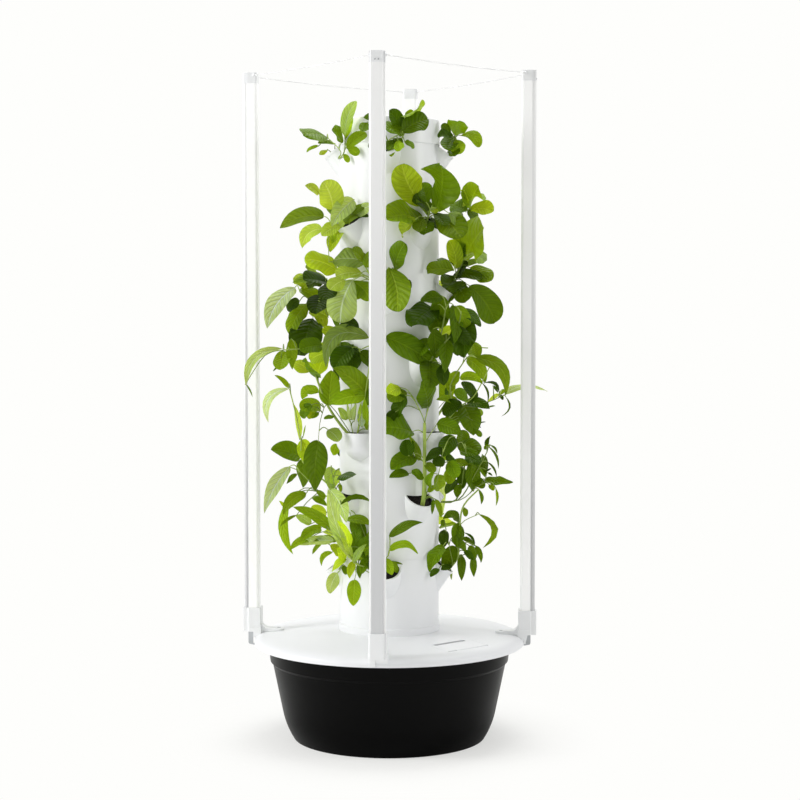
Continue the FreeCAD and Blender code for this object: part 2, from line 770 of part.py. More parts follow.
def make_dish():
    low = TOWER_TOP + SPIGOT_UP
    top = low + DISH_H
    rim = TOWER_R - TOWER_WALL - GAP
    body = lathe([
        ("start", (0, low)),
        ("line", (rim, low)),
        ("line", (rim, low + DISH_WALL)),
        ("line", (DISH_R, low + DISH_WALL)),
        ("line", (DISH_R, top)),
        ("line", (DISH_R - DISH_WALL, top)),
        ("line", (DISH_R - DISH_WALL, low + DISH_WALL)),
        ("line", (0, low + DISH_WALL)),
    ])
    hub = Part.makeCylinder(DISH_HUB_R, DISH_HUB_H, V(0, 0, low - DISH_HUB_H + DISH_WALL))
    body = joined([body, hub])
    body = body.cut(Part.makeCylinder(RISER_R + RUN_GAP, DISH_HUB_H + 20, V(0, 0, low - DISH_HUB_H)))
    for i in range(DISH_HOLES):
        hole = Part.makeCylinder(DISH_HOLE_R, 20, V(DISH_HOLE_RING, 0, low - 5))
        body = body.cut(turned(hole, i * 360.0 / DISH_HOLES))
    return body


PUMP_LOW = TUB_FLOOR + PUMP_FOOT_H
PUMP_MID = PUMP_LOW + VOLUTE_R
NOZZLE_LOW = PUMP_MID + VOLUTE_R - 4
RISER_LOW = NOZZLE_LOW + 6.0


def make_riser():
    return tube(RISER_R, RISER_BORE, RISER_LOW, TOWER_TOP + SPIGOT_UP + RISER_RISE)


def make_pump_housing():
    half = VOLUTE_LONG / 2
    motor = block(-half - PUMP_LONG, -half, -PUMP_WIDE / 2, PUMP_WIDE / 2, PUMP_LOW, PUMP_LOW + PUMP_HIGH)
    motor = motor.makeFillet(5.0, motor.Edges)
    volute = Part.makeCylinder(VOLUTE_R, VOLUTE_LONG, V(-half, 0, PUMP_MID), V(1, 0, 0))
    link = block(-half - 8, -half + 1, -14, 14, PUMP_LOW + 6, PUMP_LOW + 36)
    nozzle = tube(RISER_BORE - RUN_GAP, 0, NOZZLE_LOW, NOZZLE_LOW + NOZZLE_H)
    collar = tube(RISER_R + 2, 0, NOZZLE_LOW, RISER_LOW - 0.2)
    body = joined([motor, volute, link, nozzle, collar])
    inside = V(-half + VOLUTE_WALL, 0, PUMP_MID)
    chamber = Part.makeCylinder(VOLUTE_R - VOLUTE_WALL, VOLUTE_LONG, inside, V(1, 0, 0))
    bore = Part.makeCylinder(NOZZLE_BORE, NOZZLE_H + 20, V(0, 0, NOZZLE_LOW - 12))
    shaft_end = V(-half - SHAFT_LONG + VOLUTE_WALL + 1, 0, PUMP_MID)
    shaft = Part.makeCylinder(SHAFT_R + RUN_GAP, SHAFT_LONG, shaft_end, V(1, 0, 0))
    return body.cut(chamber).cut(bore).cut(shaft)


def make_pump_feet():
    feet = []
    half = VOLUTE_LONG / 2
    for x in (-half - PUMP_LONG + 12, -half - 12):
        for y in (-PUMP_WIDE / 2 + 12, PUMP_WIDE / 2 - 12):
            feet.append(Part.makeCone(PUMP_FOOT_R, PUMP_FOOT_R - 2, PUMP_FOOT_H, V(x, y, TUB_FLOOR)))
    return Part.makeCompound(feet)


def make_pump_cover():
    half = VOLUTE_LONG / 2
    outer = Part.makeCylinder(VOLUTE_R, COVER_LONG, V(half, 0, PUMP_MID), V(1, 0, 0))
    deep = COVER_LONG - COVER_WALL * 2
    inner = Part.makeCylinder(VOLUTE_R - COVER_WALL, deep, V(half + COVER_WALL, 0, PUMP_MID), V(1, 0, 0))
    eye = Part.makeCylinder(8.0, COVER_WALL + 1, V(half - 0.5, 0, PUMP_MID), V(1, 0, 0))
    body = outer.cut(inner).cut(eye)
    count = int((2 * VOLUTE_R - 12) / INTAKE_STEP)
    for i in range(count):
        z = PUMP_MID - VOLUTE_R + 8 + i * INTAKE_STEP
        half_wide = math.sqrt(max(VOLUTE_R ** 2 - (z + INTAKE_W / 2 - PUMP_MID) ** 2, 1.0)) - 5
        face = half + COVER_LONG
        slot = block(face - COVER_WALL - 1, face + 1, -half_wide, half_wide, z, z + INTAKE_W)
        body = body.cut(slot)
    return body


def make_impeller():
    half = VOLUTE_LONG / 2
    x0 = -IMPELLER_W / 2 + 1
    disc = Part.makeCylinder(IMPELLER_R, 2.0, V(x0, 0, PUMP_MID), V(1, 0, 0))
    hub = Part.makeCylinder(5.0, IMPELLER_W, V(x0, 0, PUMP_MID), V(1, 0, 0))
    shaft_low = -half - SHAFT_LONG + VOLUTE_WALL + 2
    shaft = Part.makeCylinder(SHAFT_R, x0 - shaft_low + 4, V(shaft_low, 0, PUMP_MID), V(1, 0, 0))
    pieces = [disc, hub, shaft]
    for i in range(IMPELLER_BLADES):
        blade = block(x0, x0 + IMPELLER_W, 3, IMPELLER_R, PUMP_MID - BLADE_T / 2, PUMP_MID + BLADE_T / 2)
        blade.rotate(V(0, 0, PUMP_MID), V(1, 0, 0), i * 360.0 / IMPELLER_BLADES)
        pieces.append(blade)
    return joined(pieces)


# Light bars, made on +X and turned to each side

SOCKET_SEAT = SOCKET_Z + SOCKET_FLOOR
BAR_CAP_Z = BAR_TOP_Z - END_CAP_H


def housing_outline(grow):
    half = HOUSING_HALF + grow
    back = HOUSING_BACK_HALF + grow
    out = BAR_OUT + grow
    groove = half - HOUSING_GROOVE
    start = BAR_SPLIT - grow
    g0 = BAR_SPLIT + HOUSING_GROOVE_W
    g1 = g0 + HOUSING_GROOVE_W
    side = [(start, half), (g0, half), (g0, groove), (g1, groove), (g1, half)]
    side += [(out - 3.0, half), (out, back)]
    return side + [(x, -y) for x, y in reversed(side)]


def plain_outline(grow):
    half = HOUSING_HALF + grow
    back = HOUSING_BACK_HALF + grow
    out = BAR_OUT + grow
    side = [(BAR_SPLIT, half), (out - 3.0, half), (out, back)]
    return side + [(x, -y) for x, y in reversed(side)]


def cover_outline(shrink, low, high):
    # Rounded channel in front of the housing
    half = BAR_COVER_HALF - shrink
    body = block(BAR_IN + shrink, BAR_SPLIT - shrink, -half, half, low, high)
    front = [e for e in body.Edges if e.BoundBox.ZLength > 10 and e.BoundBox.XMax < BAR_IN + shrink + 0.1]
    return body.makeFillet(max(BAR_FRONT_R - shrink, 1.0), front)


def make_housing():
    # Flat channel that holds the board, with a groove along each side
    low, high = SOCKET_SEAT, BAR_CAP_Z
    body = prism_z(housing_outline(0.0), low, high)
    inner = HOUSING_HALF - HOUSING_GROOVE - HOUSING_WALL + 1.0
    return body.cut(block(BAR_SPLIT - 1, BAR_OUT - HOUSING_BACK, -inner, inner, low, high))


def make_cover():
    # The cover's back edges turn in and rest on the housing
    low, high = SOCKET_SEAT, BAR_CAP_Z
    outer = cover_outline(0.0, low, high)
    inner = cover_outline(COVER_T, low - 1, high + 1)
    gap = BAR_COVER_HALF - COVER_LIP
    return outer.cut(inner).cut(block(BAR_SPLIT - COVER_T - 1, BAR_SPLIT + 1, -gap, gap, low - 1, high + 1))


def make_strip():
    low, high = SOCKET_SEAT + BOARD_END, BAR_CAP_Z - 2.0
    back = BAR_OUT - HOUSING_BACK
    board = block(back - BOARD_T, back, -BOARD_HALF, BOARD_HALF, low, high)
    chips = [board]
    count = int((high - low - CHIP) / CHIP_STEP)
    start = low + (high - low - (count - 1) * CHIP_STEP) / 2
    for i in range(count):
        z = start + i * CHIP_STEP
        for y in (-4.5, 4.5):
            chips.append(block(back - BOARD_T - CHIP_T, back - BOARD_T, y - CHIP / 2, y + CHIP / 2,
                               z - CHIP / 2, z + CHIP / 2))
    return joined(chips)


def cord_eye(side):
    # The eye on one side of an end cap, for the bar on +X
    return V(BAR_IN + CORD_SET, side * BAR_COVER_HALF, BAR_TOP_Z - CORD_DROP)


def make_end_cap():
    low, high = BAR_CAP_Z, BAR_TOP_Z
    body = joined([prism_z(plain_outline(0.0), low, high), cover_outline(0.0, low, high)])
    for side in (-1, 1):
        body = body.fuse(Part.makeSphere(CORD_EYE_R, cord_eye(side)))
    for side in (-1, 1):
        place = V(BAR_OUT - CAP_SCREW_DEEP, side * CAP_SCREW_SET, high - CAP_SCREW_DROP)
        body = body.cut(Part.makeCylinder(CAP_SCREW_R * 0.6, CAP_SCREW_DEEP, place, V(1, 0, 0)))
    return body


def make_cap_screws():
    screws = []
    for side in (-1, 1):
        z = BAR_TOP_Z - CAP_SCREW_DROP
        y = side * CAP_SCREW_SET
        tip = V(BAR_OUT - CAP_SCREW_DEEP, y, z)
        shank = Part.makeCylinder(CAP_SCREW_R * 0.6, CAP_SCREW_DEEP, tip, V(1, 0, 0))
        head = Part.makeCylinder(CAP_SCREW_R, CAP_SCREW_HEAD, V(BAR_OUT, y, z), V(1, 0, 0))
        screws.append(joined([shank, head]))
    return screws


def turned_point(point, angle):
    return FreeCAD.Rotation(UP, angle).multVec(point)


def make_cord(first, second):
    # Slightly slack line from the bar at the first angle to the bar at the second
    start = turned_point(cord_eye(1), first)
    end = turned_point(cord_eye(-1), second)
    middle = (start + end) * 0.5 - V(0, 0, CORD_SAG)
    arc = Part.Arc(start, middle, end)
    path = Part.Wire([arc.toShape()])
    tangent = arc.tangent(arc.FirstParameter)[0]
    section = Part.Wire([Part.makeCircle(CORD_R, start, tangent)])
    body = path.makePipeShell([section], True, True)
    for point in (start, end):
        body = body.cut(Part.makeSphere(CORD_EYE_R, point))
    return body


# Brackets

def make_bracket():
    wide = block(SOCKET_IN, SOCKET_STEP, -SOCKET_HALF, SOCKET_HALF, SOCKET_Z, SOCKET_TOP)
    slim = block(SOCKET_STEP - 4, SOCKET_OUT, -SOCKET_BACK_HALF, SOCKET_BACK_HALF, SOCKET_Z, SOCKET_TOP)
    wide = wide.makeFillet(SOCKET_EDGE, [e for e in wide.Edges if e.BoundBox.ZLength > 20])
    outer = [e for e in slim.Edges if e.BoundBox.ZLength > 20 and e.BoundBox.XMin > SOCKET_OUT - 1]
    slim = slim.makeFillet(SOCKET_EDGE, outer)
    foot = prism_y([
        (SOCKET_IN - 1.0, SOCKET_Z - FOOT_DROP), (CLIP_IN - 0.5, SOCKET_Z - FOOT_DROP),
        (CLIP_IN - 0.5, SOCKET_Z), (SOCKET_STEP - 4, SOCKET_Z),
        (SOCKET_STEP - 4, SOCKET_Z + FOOT_RISE), (SOCKET_IN - 1.0, SOCKET_Z + FOOT_RISE),
    ], -FOOT_HALF, FOOT_HALF)
    sweep = ARM_SWEEP
    arm_low = LID_ROLL_Z
    k = sweep * (1 - math.sqrt(0.5))
    x1 = SOCKET_IN + 1
    points = [V(ARM_IN, 0, arm_low), V(ARM_IN, 0, ARM_TOP - 1.5), V(x1 - sweep, 0, ARM_TOP)]
    edges = [Part.makeLine(points[0], points[1]), Part.makeLine(points[1], points[2])]
    top = V(x1, 0, ARM_TOP + sweep)
    edges.append(Part.Arc(points[2], V(x1 - k, 0, ARM_TOP + k), top).toShape())
    edges.append(Part.makeLine(top, V(x1, 0, arm_low)))
    edges.append(Part.makeLine(V(x1, 0, arm_low), points[0]))
    arm = Part.Face(Part.Wire(edges)).extrude(V(0, 2 * ARM_HALF, 0))
    arm.translate(V(0, -ARM_HALF, 0))
    nose = Part.makeCylinder(ARM_HALF, 60, V(ARM_IN + ARM_HALF, 0, arm_low))
    keep = nose.fuse(block(ARM_IN + ARM_HALF, 400, -ARM_HALF, ARM_HALF, arm_low, arm_low + 80))
    arm = arm.common(keep)
    hook = prism_y([
        (LIP_IN, SOCKET_Z + 2), (LIP_IN, SOCKET_Z - LIP_DROP + 6),
        (LIP_IN - 1.5, SOCKET_Z - LIP_DROP), (LIP_IN + LIP_T - 3, SOCKET_Z - LIP_DROP),
        (LIP_IN + LIP_T, SOCKET_Z - 10), (LIP_IN + LIP_T + 3, SOCKET_Z + 2),
    ], LIP_FROM, LIP_TO)
    body = joined([wide, slim, foot, arm, hook])
    body = body.cut(lid_solid(0.2, LID_LOW - 2, 60))
    # Socket for the bar
    well = prism_z(plain_outline(GAP), SOCKET_SEAT, SOCKET_TOP + 1)
    half = BAR_COVER_HALF + GAP
    front = block(BAR_IN - GAP, BAR_SPLIT + GAP, -half, half, SOCKET_SEAT, SOCKET_TOP + 1)
    body = body.cut(well.fuse(front))
    sink = Part.makeCylinder(SCREW_SINK_R, 30, V(SCREW_AT, 0, ARM_TOP - SCREW_SINK - 0.6))
    hole = Part.makeCylinder(SCREW_R, 60, V(SCREW_AT, 0, LID_ROLL_Z))
    return body.cut(sink).cut(hole)


def make_bracket_screw():
    seat = ARM_TOP - SCREW_SINK - 0.6
    shank = Part.makeCylinder(SCREW_R, SCREW_LONG, V(SCREW_AT, 0, seat - SCREW_LONG))
    head = Part.makeCylinder(SCREW_HEAD_R, SCREW_HEAD_H, V(SCREW_AT, 0, seat))
    slot = block(SCREW_AT - 5, SCREW_AT + 5, -0.5, 0.5, seat + SCREW_HEAD_H - 0.8, seat + SCREW_HEAD_H + 1)
    return joined([shank, head]).cut(slot)


def make_clip():
    # Bent strip beside the socket that reaches under the lid's edge
    y0 = SOCKET_BACK_HALF + 0.2
    strip = block(CLIP_IN, CLIP_OUT, y0, y0 + CLIP_T, CLIP_BOTTOM, SOCKET_Z)
    pad = block(CLIP_IN, CLIP_OUT, y0 - CLIP_PAD, y0 + CLIP_T, SOCKET_Z - CLIP_T, SOCKET_Z)
    toe = prism_y([
        (CLIP_IN + 3, CLIP_BOTTOM), (CLIP_OUT, CLIP_BOTTOM), (CLIP_OUT - 2, CLIP_BOTTOM - 3),
        (LID_R + 0.8, LID_LOW - CLIP_TOE - 3), (LID_R - 5, LID_LOW - CLIP_TOE),
        (LID_R - 5, LID_LOW - CLIP_TOE + 2),
        (CLIP_IN, CLIP_BOTTOM - 2), (CLIP_IN, CLIP_BOTTOM + 3), (CLIP_IN + 3, CLIP_BOTTOM + 3),
    ], y0, y0 + CLIP_T)
    return joined([strip, pad, toe])


def all_round(shape, angles):
    return Part.makeCompound([turned(shape, angle) for angle in angles])


# Write every piece

save(make_tub(), "tub")
save(make_grommet(), "lead_grommet")
save(make_lid(), "lid")
save(make_hatch(), "filling_hatch")
save(make_hatch_pin(), "hatch_pin")

save(make_section(LID_SEAT_Z, BASE_TOP_Z, (1,), True), "base_section")
SECTION_NAMES = ("lower_section", "middle_section", "upper_section")
for index in range(SECTION_COUNT):
    bottom = BASE_TOP_Z + index * SECTION_H
    section = make_section(bottom, bottom + SECTION_H, (2 + 2 * index, 3 + 2 * index), False)
    save(section, SECTION_NAMES[index])
save(make_cap(), "top_cap")
save(make_dish(), "distributor_dish")
save(make_riser(), "riser_pipe")

save(make_pump_housing(), "pump_housing")
save(make_pump_feet(), "pump_feet")
save(make_pump_cover(), "pump_cover")
save(make_impeller(), "pump_impeller")

cups = []
media = []
for number in range(1, len(ROWS) + 1):
    cup = net_cup(number)
    fill = medium(number)
    for angle in row_angles(number):
        cups.append(turned(cup, angle))
        media.append(turned(fill, angle))
    save(row_of_plants(number), "plants_row_" + str(number))
save(Part.makeCompound(cups), "net_cups")
save(Part.makeCompound(media), "growing_medium")

bracket = make_bracket()
housing = make_housing()
cover = make_cover()
strip = make_strip()
end_cap = make_end_cap()
for side, angle in SIDES:
    save(turned(bracket, angle), "bracket_" + side)
    save(turned(housing, angle), "light_housing_" + side)
    save(turned(cover, angle), "light_cover_" + side)
    save(turned(strip, angle), "light_strip_" + side)
    save(turned(end_cap, angle), "light_end_cap_" + side)
CORDS = ("tie_cord_back_right", "tie_cord_back_left", "tie_cord_front_left", "tie_cord_front_right")
bar_angles = [angle for side, angle in SIDES]
for index, node in enumerate(CORDS):
    cord = make_cord(bar_angles[index], bar_angles[(index + 1) % 4])
    save(cord, node)
    print(node, round(cord.Volume / (math.pi * CORD_R ** 2), 2))
screws = [turned(screw, angle) for screw in make_cap_screws() for angle in bar_angles]
save(Part.makeCompound(screws), "end_cap_screws")
save(all_round(make_bracket_screw(), bar_angles), "bracket_screws")
save(all_round(make_clip(), CLIP_SIDES), "rim_clips")
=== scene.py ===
import bpy
import math
import random
from mathutils import Matrix, Vector


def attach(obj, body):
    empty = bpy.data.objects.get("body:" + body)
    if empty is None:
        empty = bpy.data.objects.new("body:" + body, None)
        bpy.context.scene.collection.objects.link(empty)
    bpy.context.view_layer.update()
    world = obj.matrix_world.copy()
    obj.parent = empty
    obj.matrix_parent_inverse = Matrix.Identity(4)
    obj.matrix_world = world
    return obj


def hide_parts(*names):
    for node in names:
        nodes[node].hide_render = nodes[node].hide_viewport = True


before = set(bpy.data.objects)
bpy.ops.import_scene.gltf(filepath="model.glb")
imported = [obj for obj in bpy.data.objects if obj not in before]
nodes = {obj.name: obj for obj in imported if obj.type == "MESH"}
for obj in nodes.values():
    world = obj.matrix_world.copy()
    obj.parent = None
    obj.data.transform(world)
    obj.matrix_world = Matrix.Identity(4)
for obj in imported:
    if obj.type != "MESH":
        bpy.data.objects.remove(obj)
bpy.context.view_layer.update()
scene = bpy.context.scene
scene.view_settings.view_transform = "Standard"

TOWER_BODY = "lid_and_tower"


def added(name, data):
    # A new object in the scene
    item = bpy.data.objects.new(name, data)
    scene.collection.objects.link(item)
    return item


# Camera, and the way back from a place in the photograph to a point in the scene
CAMERA_TURN = math.radians(4.5)
CAMERA_AIM = math.radians(4.152)
CAMERA_DOWN = math.radians(2.66)
CAMERA_FAR = 4.0
CAMERA_HIGH = 0.95
LENS = 79.8
SENSOR = 36.0
PICTURE = 800
FOCAL = LENS / SENSOR * PICTURE

eye = Vector((CAMERA_FAR * math.sin(CAMERA_TURN), -CAMERA_FAR * math.cos(CAMERA_TURN), CAMERA_HIGH))
forward = Vector((-math.sin(CAMERA_AIM) * math.cos(CAMERA_DOWN),
                  math.cos(CAMERA_AIM) * math.cos(CAMERA_DOWN), -math.sin(CAMERA_DOWN)))
rightward = Vector((math.cos(CAMERA_AIM), math.sin(CAMERA_AIM), 0))
upward = rightward.cross(forward)


def make_camera():
    data = bpy.data.cameras.new("camera")
    data.lens = LENS
    data.sensor_width = SENSOR
    data.clip_start = 0.1
    data.clip_end = 60.0
    camera = added("camera", data)
    turn = Matrix((rightward, upward, -forward)).transposed()
    camera.matrix_world = Matrix.Translation(eye) @ turn.to_4x4()
    scene.camera = camera


make_camera()


def sight(x, y, depth):
    # The point at a depth that the camera shows at x, y in the photograph
    half = PICTURE / 2
    return eye + depth * (forward + rightward * ((x - half) / FOCAL) + upward * ((half - y) / FOCAL))


def depth_of(point):
    return (Vector(point) - eye).dot(forward)


# Tie cords between the light bars' caps, each from one bar's angle to the next one's
CORD_EYE = (0.304, 0.017, 1.493)
CORD_DIP = 0.006
CORD_THICK = 0.002
EYE_SIZE = 0.003
CORDS = (
    ("tie_cord_back_right", 0, 85), ("tie_cord_back_left", 85, 180),
    ("tie_cord_front_left", 180, 270), ("tie_cord_front_right", 270, 360),
)


def cord_eye(angle, side):
    x, y, z = CORD_EYE
    return Matrix.Rotation(math.radians(angle), 3, "Z") @ Vector((x, side * y, z))


def make_cord(node, first, second):
    start = cord_eye(first, 1)
    end = cord_eye(second, -1)
    way = (end - start).normalized() * EYE_SIZE
    start += way
    end -= way
    middle = (start + end) / 2 - Vector((0, 0, CORD_DIP))
    curve = bpy.data.curves.new(node + "_line", "CURVE")
    curve.dimensions = "3D"
    curve.bevel_depth = 1.0
    curve.bevel_resolution = 3
    curve.use_fill_caps = True
    spline = curve.splines.new("NURBS")
    spline.points.add(2)
    for point, place in zip(spline.points, (start, middle, end)):
        point.co = (*place, 1)
        point.radius = CORD_THICK / 2
    spline.order_u = 3
    spline.use_endpoint_u = True
    spline.resolution_u = 24
    cord = added(node.removeprefix("tie_"), curve)
    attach(cord, TOWER_BODY)
    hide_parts(node)
    return cord


cords = [make_cord(*line) for line in CORDS]


# Materials

CHIP_LEVEL = 0.3242


def linear(code):
    # Linear colour of a six-digit code
    values = []
    for i in (0, 2, 4):
        part = int(code[i:i + 2], 16) / 255
        values.append(part / 12.92 if part <= 0.04045 else ((part + 0.055) / 1.055) ** 2.4)
    return values


class Paint:
    # A material with short names for the nodes that most of them use
    def __init__(self, name, colour, rough, metal=0.0):
        self.material = bpy.data.materials.new(name)
        self.material.use_nodes = True
        self.tree = self.material.node_tree
        self.shader = self.tree.nodes["Principled BSDF"]
        self.output = self.tree.nodes["Material Output"]
        self.colour = linear(colour) + [1]
        self.shader.inputs["Base Color"].default_value = self.colour
        self.shader.inputs["Roughness"].default_value = rough
        self.shader.inputs["Metallic"].default_value = metal
        self.place = self.node("ShaderNodeTexCoord").outputs["Object"]

    def node(self, kind, **settings):
        made = self.tree.nodes.new(kind)
        for key, value in settings.items():
            setattr(made, key, value)
        return made

    def link(self, source, target):
        self.tree.links.new(source, target)

    def fill(self, target, value):
        if hasattr(value, "is_output"):
            self.link(value, target)
        else:
            target.default_value = value

    def parts(self, source):
        # The three numbers of a vector or place
        made = self.node("ShaderNodeSeparateXYZ")
        self.link(source, made.inputs[0])
        return made.outputs

    def sum(self, operation, first, second=0.0):
        made = self.node("ShaderNodeMath", operation=operation)
        for target, value in zip(made.inputs, (first, second)):
            self.fill(target, value)
        return made.outputs[0]

    def step(self, value, low, high, to_low=0.0, to_high=1.0):
        made = self.node("ShaderNodeMapRange", interpolation_type="SMOOTHSTEP")
        for target, part in zip(made.inputs, (value, low, high, to_low, to_high)):
            self.fill(target, part)
        return made.outputs[0]

    def noise(self, scale, detail=3.0, rough=0.5, stretch=None):
        made = self.node("ShaderNodeTexNoise")
        made.inputs["Scale"].default_value = scale
        made.inputs["Detail"].default_value = detail
        made.inputs["Roughness"].default_value = rough
        source = self.place
        if stretch:
            mapping = self.node("ShaderNodeMapping")
            mapping.inputs["Scale"].default_value = stretch
            self.link(source, mapping.inputs["Vector"])
            source = mapping.outputs[0]
        self.link(source, made.inputs["Vector"])
        return made.outputs[0]

    def blend(self, share, first, second, kind="MIX"):
        made = self.node("ShaderNodeMix", data_type="RGBA", blend_type=kind)
        self.fill(made.inputs[0], share)
        self.fill(made.inputs[6], first)
        self.fill(made.inputs[7], second)
        return made.outputs[2]

    def tint(self, share, other):
        # The base colour shifted towards another one by a share from 0 to 1
        self.link(self.blend(share, self.colour, linear(other) + [1]), self.shader.inputs["Base Color"])

    def rough(self, value, low, high):
        self.link(self.step(value, 0.3, 0.7, low, high), self.shader.inputs["Roughness"])

    def bump(self, height, strength, distance):
        made = self.node("ShaderNodeBump")
        made.inputs["Strength"].default_value = strength
        made.inputs["Distance"].default_value = distance
        self.link(height, made.inputs["Height"])
        self.link(made.outputs[0], self.shader.inputs["Normal"])


def moulded(name, colour, rough, grain=900.0, depth=0.00004, other=None, spread=0.03):
    # Moulded plastic: fine grain, slow changes of gloss and a trace of another shade
    paint = Paint(name, colour, rough)
    broad = paint.noise(3.0, 2.0, 0.5)
    fine = paint.noise(grain, 2.0, 0.6)
    paint.tint(paint.step(broad, 0.3, 0.8), other or colour)
    paint.rough(paint.noise(7.0, 2.0, 0.5), max(rough - spread, 0.05), rough + spread)
    paint.bump(fine, 0.2, depth)
    return paint


def tub_material():
    paint = moulded("tub_plastic", "020202", 0.36, 1300.0, 0.0001, "030303", 0.03)
    paint.shader.inputs["Specular IOR Level"].default_value = 0.07
    return paint.material


def cover_material():
    # Frosted extruded cover with a faint painted glow that brightens it, with drawn lines along it
    paint = Paint("frosted_cover", "ffffff", 0.3)
    paint.shader.inputs["Transmission Weight"].default_value = 0.1
    paint.shader.inputs["IOR"].default_value = 1.3
    # Painted light: a faint emission that makes the cover look brighter
    paint.shader.inputs["Emission Color"].default_value = (1.0, 1.0, 0.98, 1)
    paint.shader.inputs["Emission Strength"].default_value = 0.1
    lines = paint.noise(8.0, 2.0, 0.5, (3.0, 3.0, 0.3))
    paint.rough(lines, 0.3, 0.34)
    return paint.material


def housing_material():
    # Satin extrusion with painted light: paler towards its top and darker towards its bottom, for the
    # bright wall and the floor that it mirrors
    paint = Paint("bar_housing", "d0d1d3", 0.38, 0.35)
    height = paint.parts(paint.place)[2]
    # Painted reflection: the colour lightens with height
    paint.tint(paint.step(height, 0.25, 1.5), "f9f9f9")
    lines = paint.noise(40.0, 2.0, 0.5, (20.0, 20.0, 0.2))
    paint.rough(lines, 0.33, 0.43)
    paint.bump(lines, 0.08, 0.00004)
    return paint.material


def board_material():
    # White coated board with pale lamps, whose faces lie further in than CHIP_LEVEL
    paint = Paint("light_board", "eef0ee", 0.4)
    squares = [paint.sum("MULTIPLY", part, part) for part in paint.parts(paint.place)[:2]]
    chip = paint.sum("LESS_THAN", paint.sum("SQRT", paint.sum("ADD", *squares)), CHIP_LEVEL)
    speck = paint.noise(700.0, 2.0)
    plain = paint.blend(paint.step(speck, 0.4, 0.8), linear("eef0ee") + [1], linear("dfe2df") + [1])
    lamp = paint.blend(paint.step(speck, 0.4, 0.8), linear("f4f0d4") + [1], linear("efe8c0") + [1])
    paint.link(paint.blend(chip, plain, lamp), paint.shader.inputs["Base Color"])
    paint.rough(speck, 0.3, 0.45)
    return paint.material


def steel_material():
    paint = Paint("brushed_steel", "b9bcbe", 0.28, 1.0)
    lines = paint.noise(260.0, 3.0, 0.6, (1.0, 9.0, 1.0))
    paint.rough(lines, 0.2, 0.42)
    paint.tint(paint.step(lines, 0.3, 0.8), "93979a")
    paint.bump(lines, 0.15, 0.00005)
    return paint.material


def medium_material():
    paint = Paint("growing_medium", "120d09", 0.92)
    grain = paint.noise(420.0, 5.0, 0.75)
    paint.tint(paint.step(grain, 0.45, 0.75), "3a2a1c")
    paint.bump(grain, 1.0, 0.0012)
    return paint.material


def cord_material():
    paint = Paint("tie_cord", "fbfbfb", 0.35)
    paint.shader.inputs["Transmission Weight"].default_value = 0.5
    paint.shader.inputs["IOR"].default_value = 1.2
    twist = paint.noise(900.0, 2.0, 0.5, (1.0, 1.0, 4.0))
    paint.tint(paint.step(twist, 0.4, 0.7), "f0f1f1")
    paint.bump(twist, 0.3, 0.0001)
    return paint.material


def leaf_material():
    # Leaf colour comes with each leaf, veins from its own length and width
    paint = Paint("leaf", "62942a", 0.42)
    own = paint.node("ShaderNodeVertexColor", layer_name="leaf_colour").outputs["Color"]
    across, along = paint.parts(paint.node("ShaderNodeUVMap", uv_map="leaf_map").outputs[0])[:2]
    side = paint.sum("ABSOLUTE", paint.sum("SUBTRACT", paint.sum("MULTIPLY", across, 2.0), 1.0))
    slope = paint.sum("SUBTRACT", along, paint.sum("MULTIPLY", side, 0.24))
    wave = paint.sum("MULTIPLY", paint.sum("PINGPONG", paint.sum("MULTIPLY", slope, 8.0), 0.5), 2.0)
    vein = paint.step(wave, 0.0, 0.26, 1.0, 0.0)
    vein = paint.sum("MULTIPLY", vein, paint.step(side, 0.25, 1.0, 1.0, 0.15))
    rib = paint.step(side, 0.0, 0.1, 1.0, 0.0)
    lines = paint.sum("MAXIMUM", paint.sum("MULTIPLY", vein, 0.5), paint.sum("MULTIPLY", rib, 0.8))
    blotch = paint.noise(60.0, 4.0, 0.6)
    net = paint.noise(420.0, 3.0, 0.7)
    # Veins and midrib are paler, partly their own colour and partly painted sheen. Painted shade: the
    # leaf is darker next to its veins, where the panels dip, and in random blotches
    pale = paint.blend(1.0, own, (1.7, 1.5, 3.5, 1), "MULTIPLY")
    dark = paint.blend(1.0, own, (0.6, 0.66, 0.5, 1), "MULTIPLY")
    unshaded_share = paint.sum("MULTIPLY", paint.step(wave, 0.15, 0.9), paint.step(blotch, 0.25, 0.6))
    body = paint.blend(unshaded_share, dark, own)
    top = paint.blend(lines, body, pale)
    paint.link(top, paint.shader.inputs["Base Color"])
    paint.rough(net, 0.27, 0.4)
    paint.shader.inputs["Specular IOR Level"].default_value = 0.17
    paint.shader.inputs["Specular Tint"].default_value = (0.85, 1.0, 0.35, 1)
    swell = paint.sum("SUBTRACT", paint.sum("POWER", wave, 0.6), paint.sum("MULTIPLY", rib, 0.8))
    height = paint.sum("ADD", swell, paint.sum("MULTIPLY", net, 0.22))
    paint.bump(height, 0.8, 0.0016)
    through = paint.node("ShaderNodeBsdfTranslucent")
    paint.link(paint.blend(1.0, own, (2.0, 1.7, 0.5, 1), "MULTIPLY"), through.inputs["Color"])
    both = paint.node("ShaderNodeMixShader")
    both.inputs[0].default_value = 0.25
    paint.link(paint.shader.outputs[0], both.inputs[1])
    paint.link(through.outputs[0], both.inputs[2])
    paint.link(both.outputs[0], paint.output.inputs[0])
    return paint.material


def stem_material():
    paint = Paint("stem", "8fae4a", 0.5)
    own = paint.node("ShaderNodeVertexColor", layer_name="leaf_colour").outputs["Color"]
    streak = paint.noise(160.0, 3.0, 0.6, (1.0, 1.0, 0.15))
    shade = paint.blend(1.0, own, (0.7, 0.75, 0.6, 1), "MULTIPLY")
    paint.link(paint.blend(paint.step(streak, 0.35, 0.7), shade, own), paint.shader.inputs["Base Color"])
    paint.bump(streak, 0.3, 0.0004)
    return paint.material


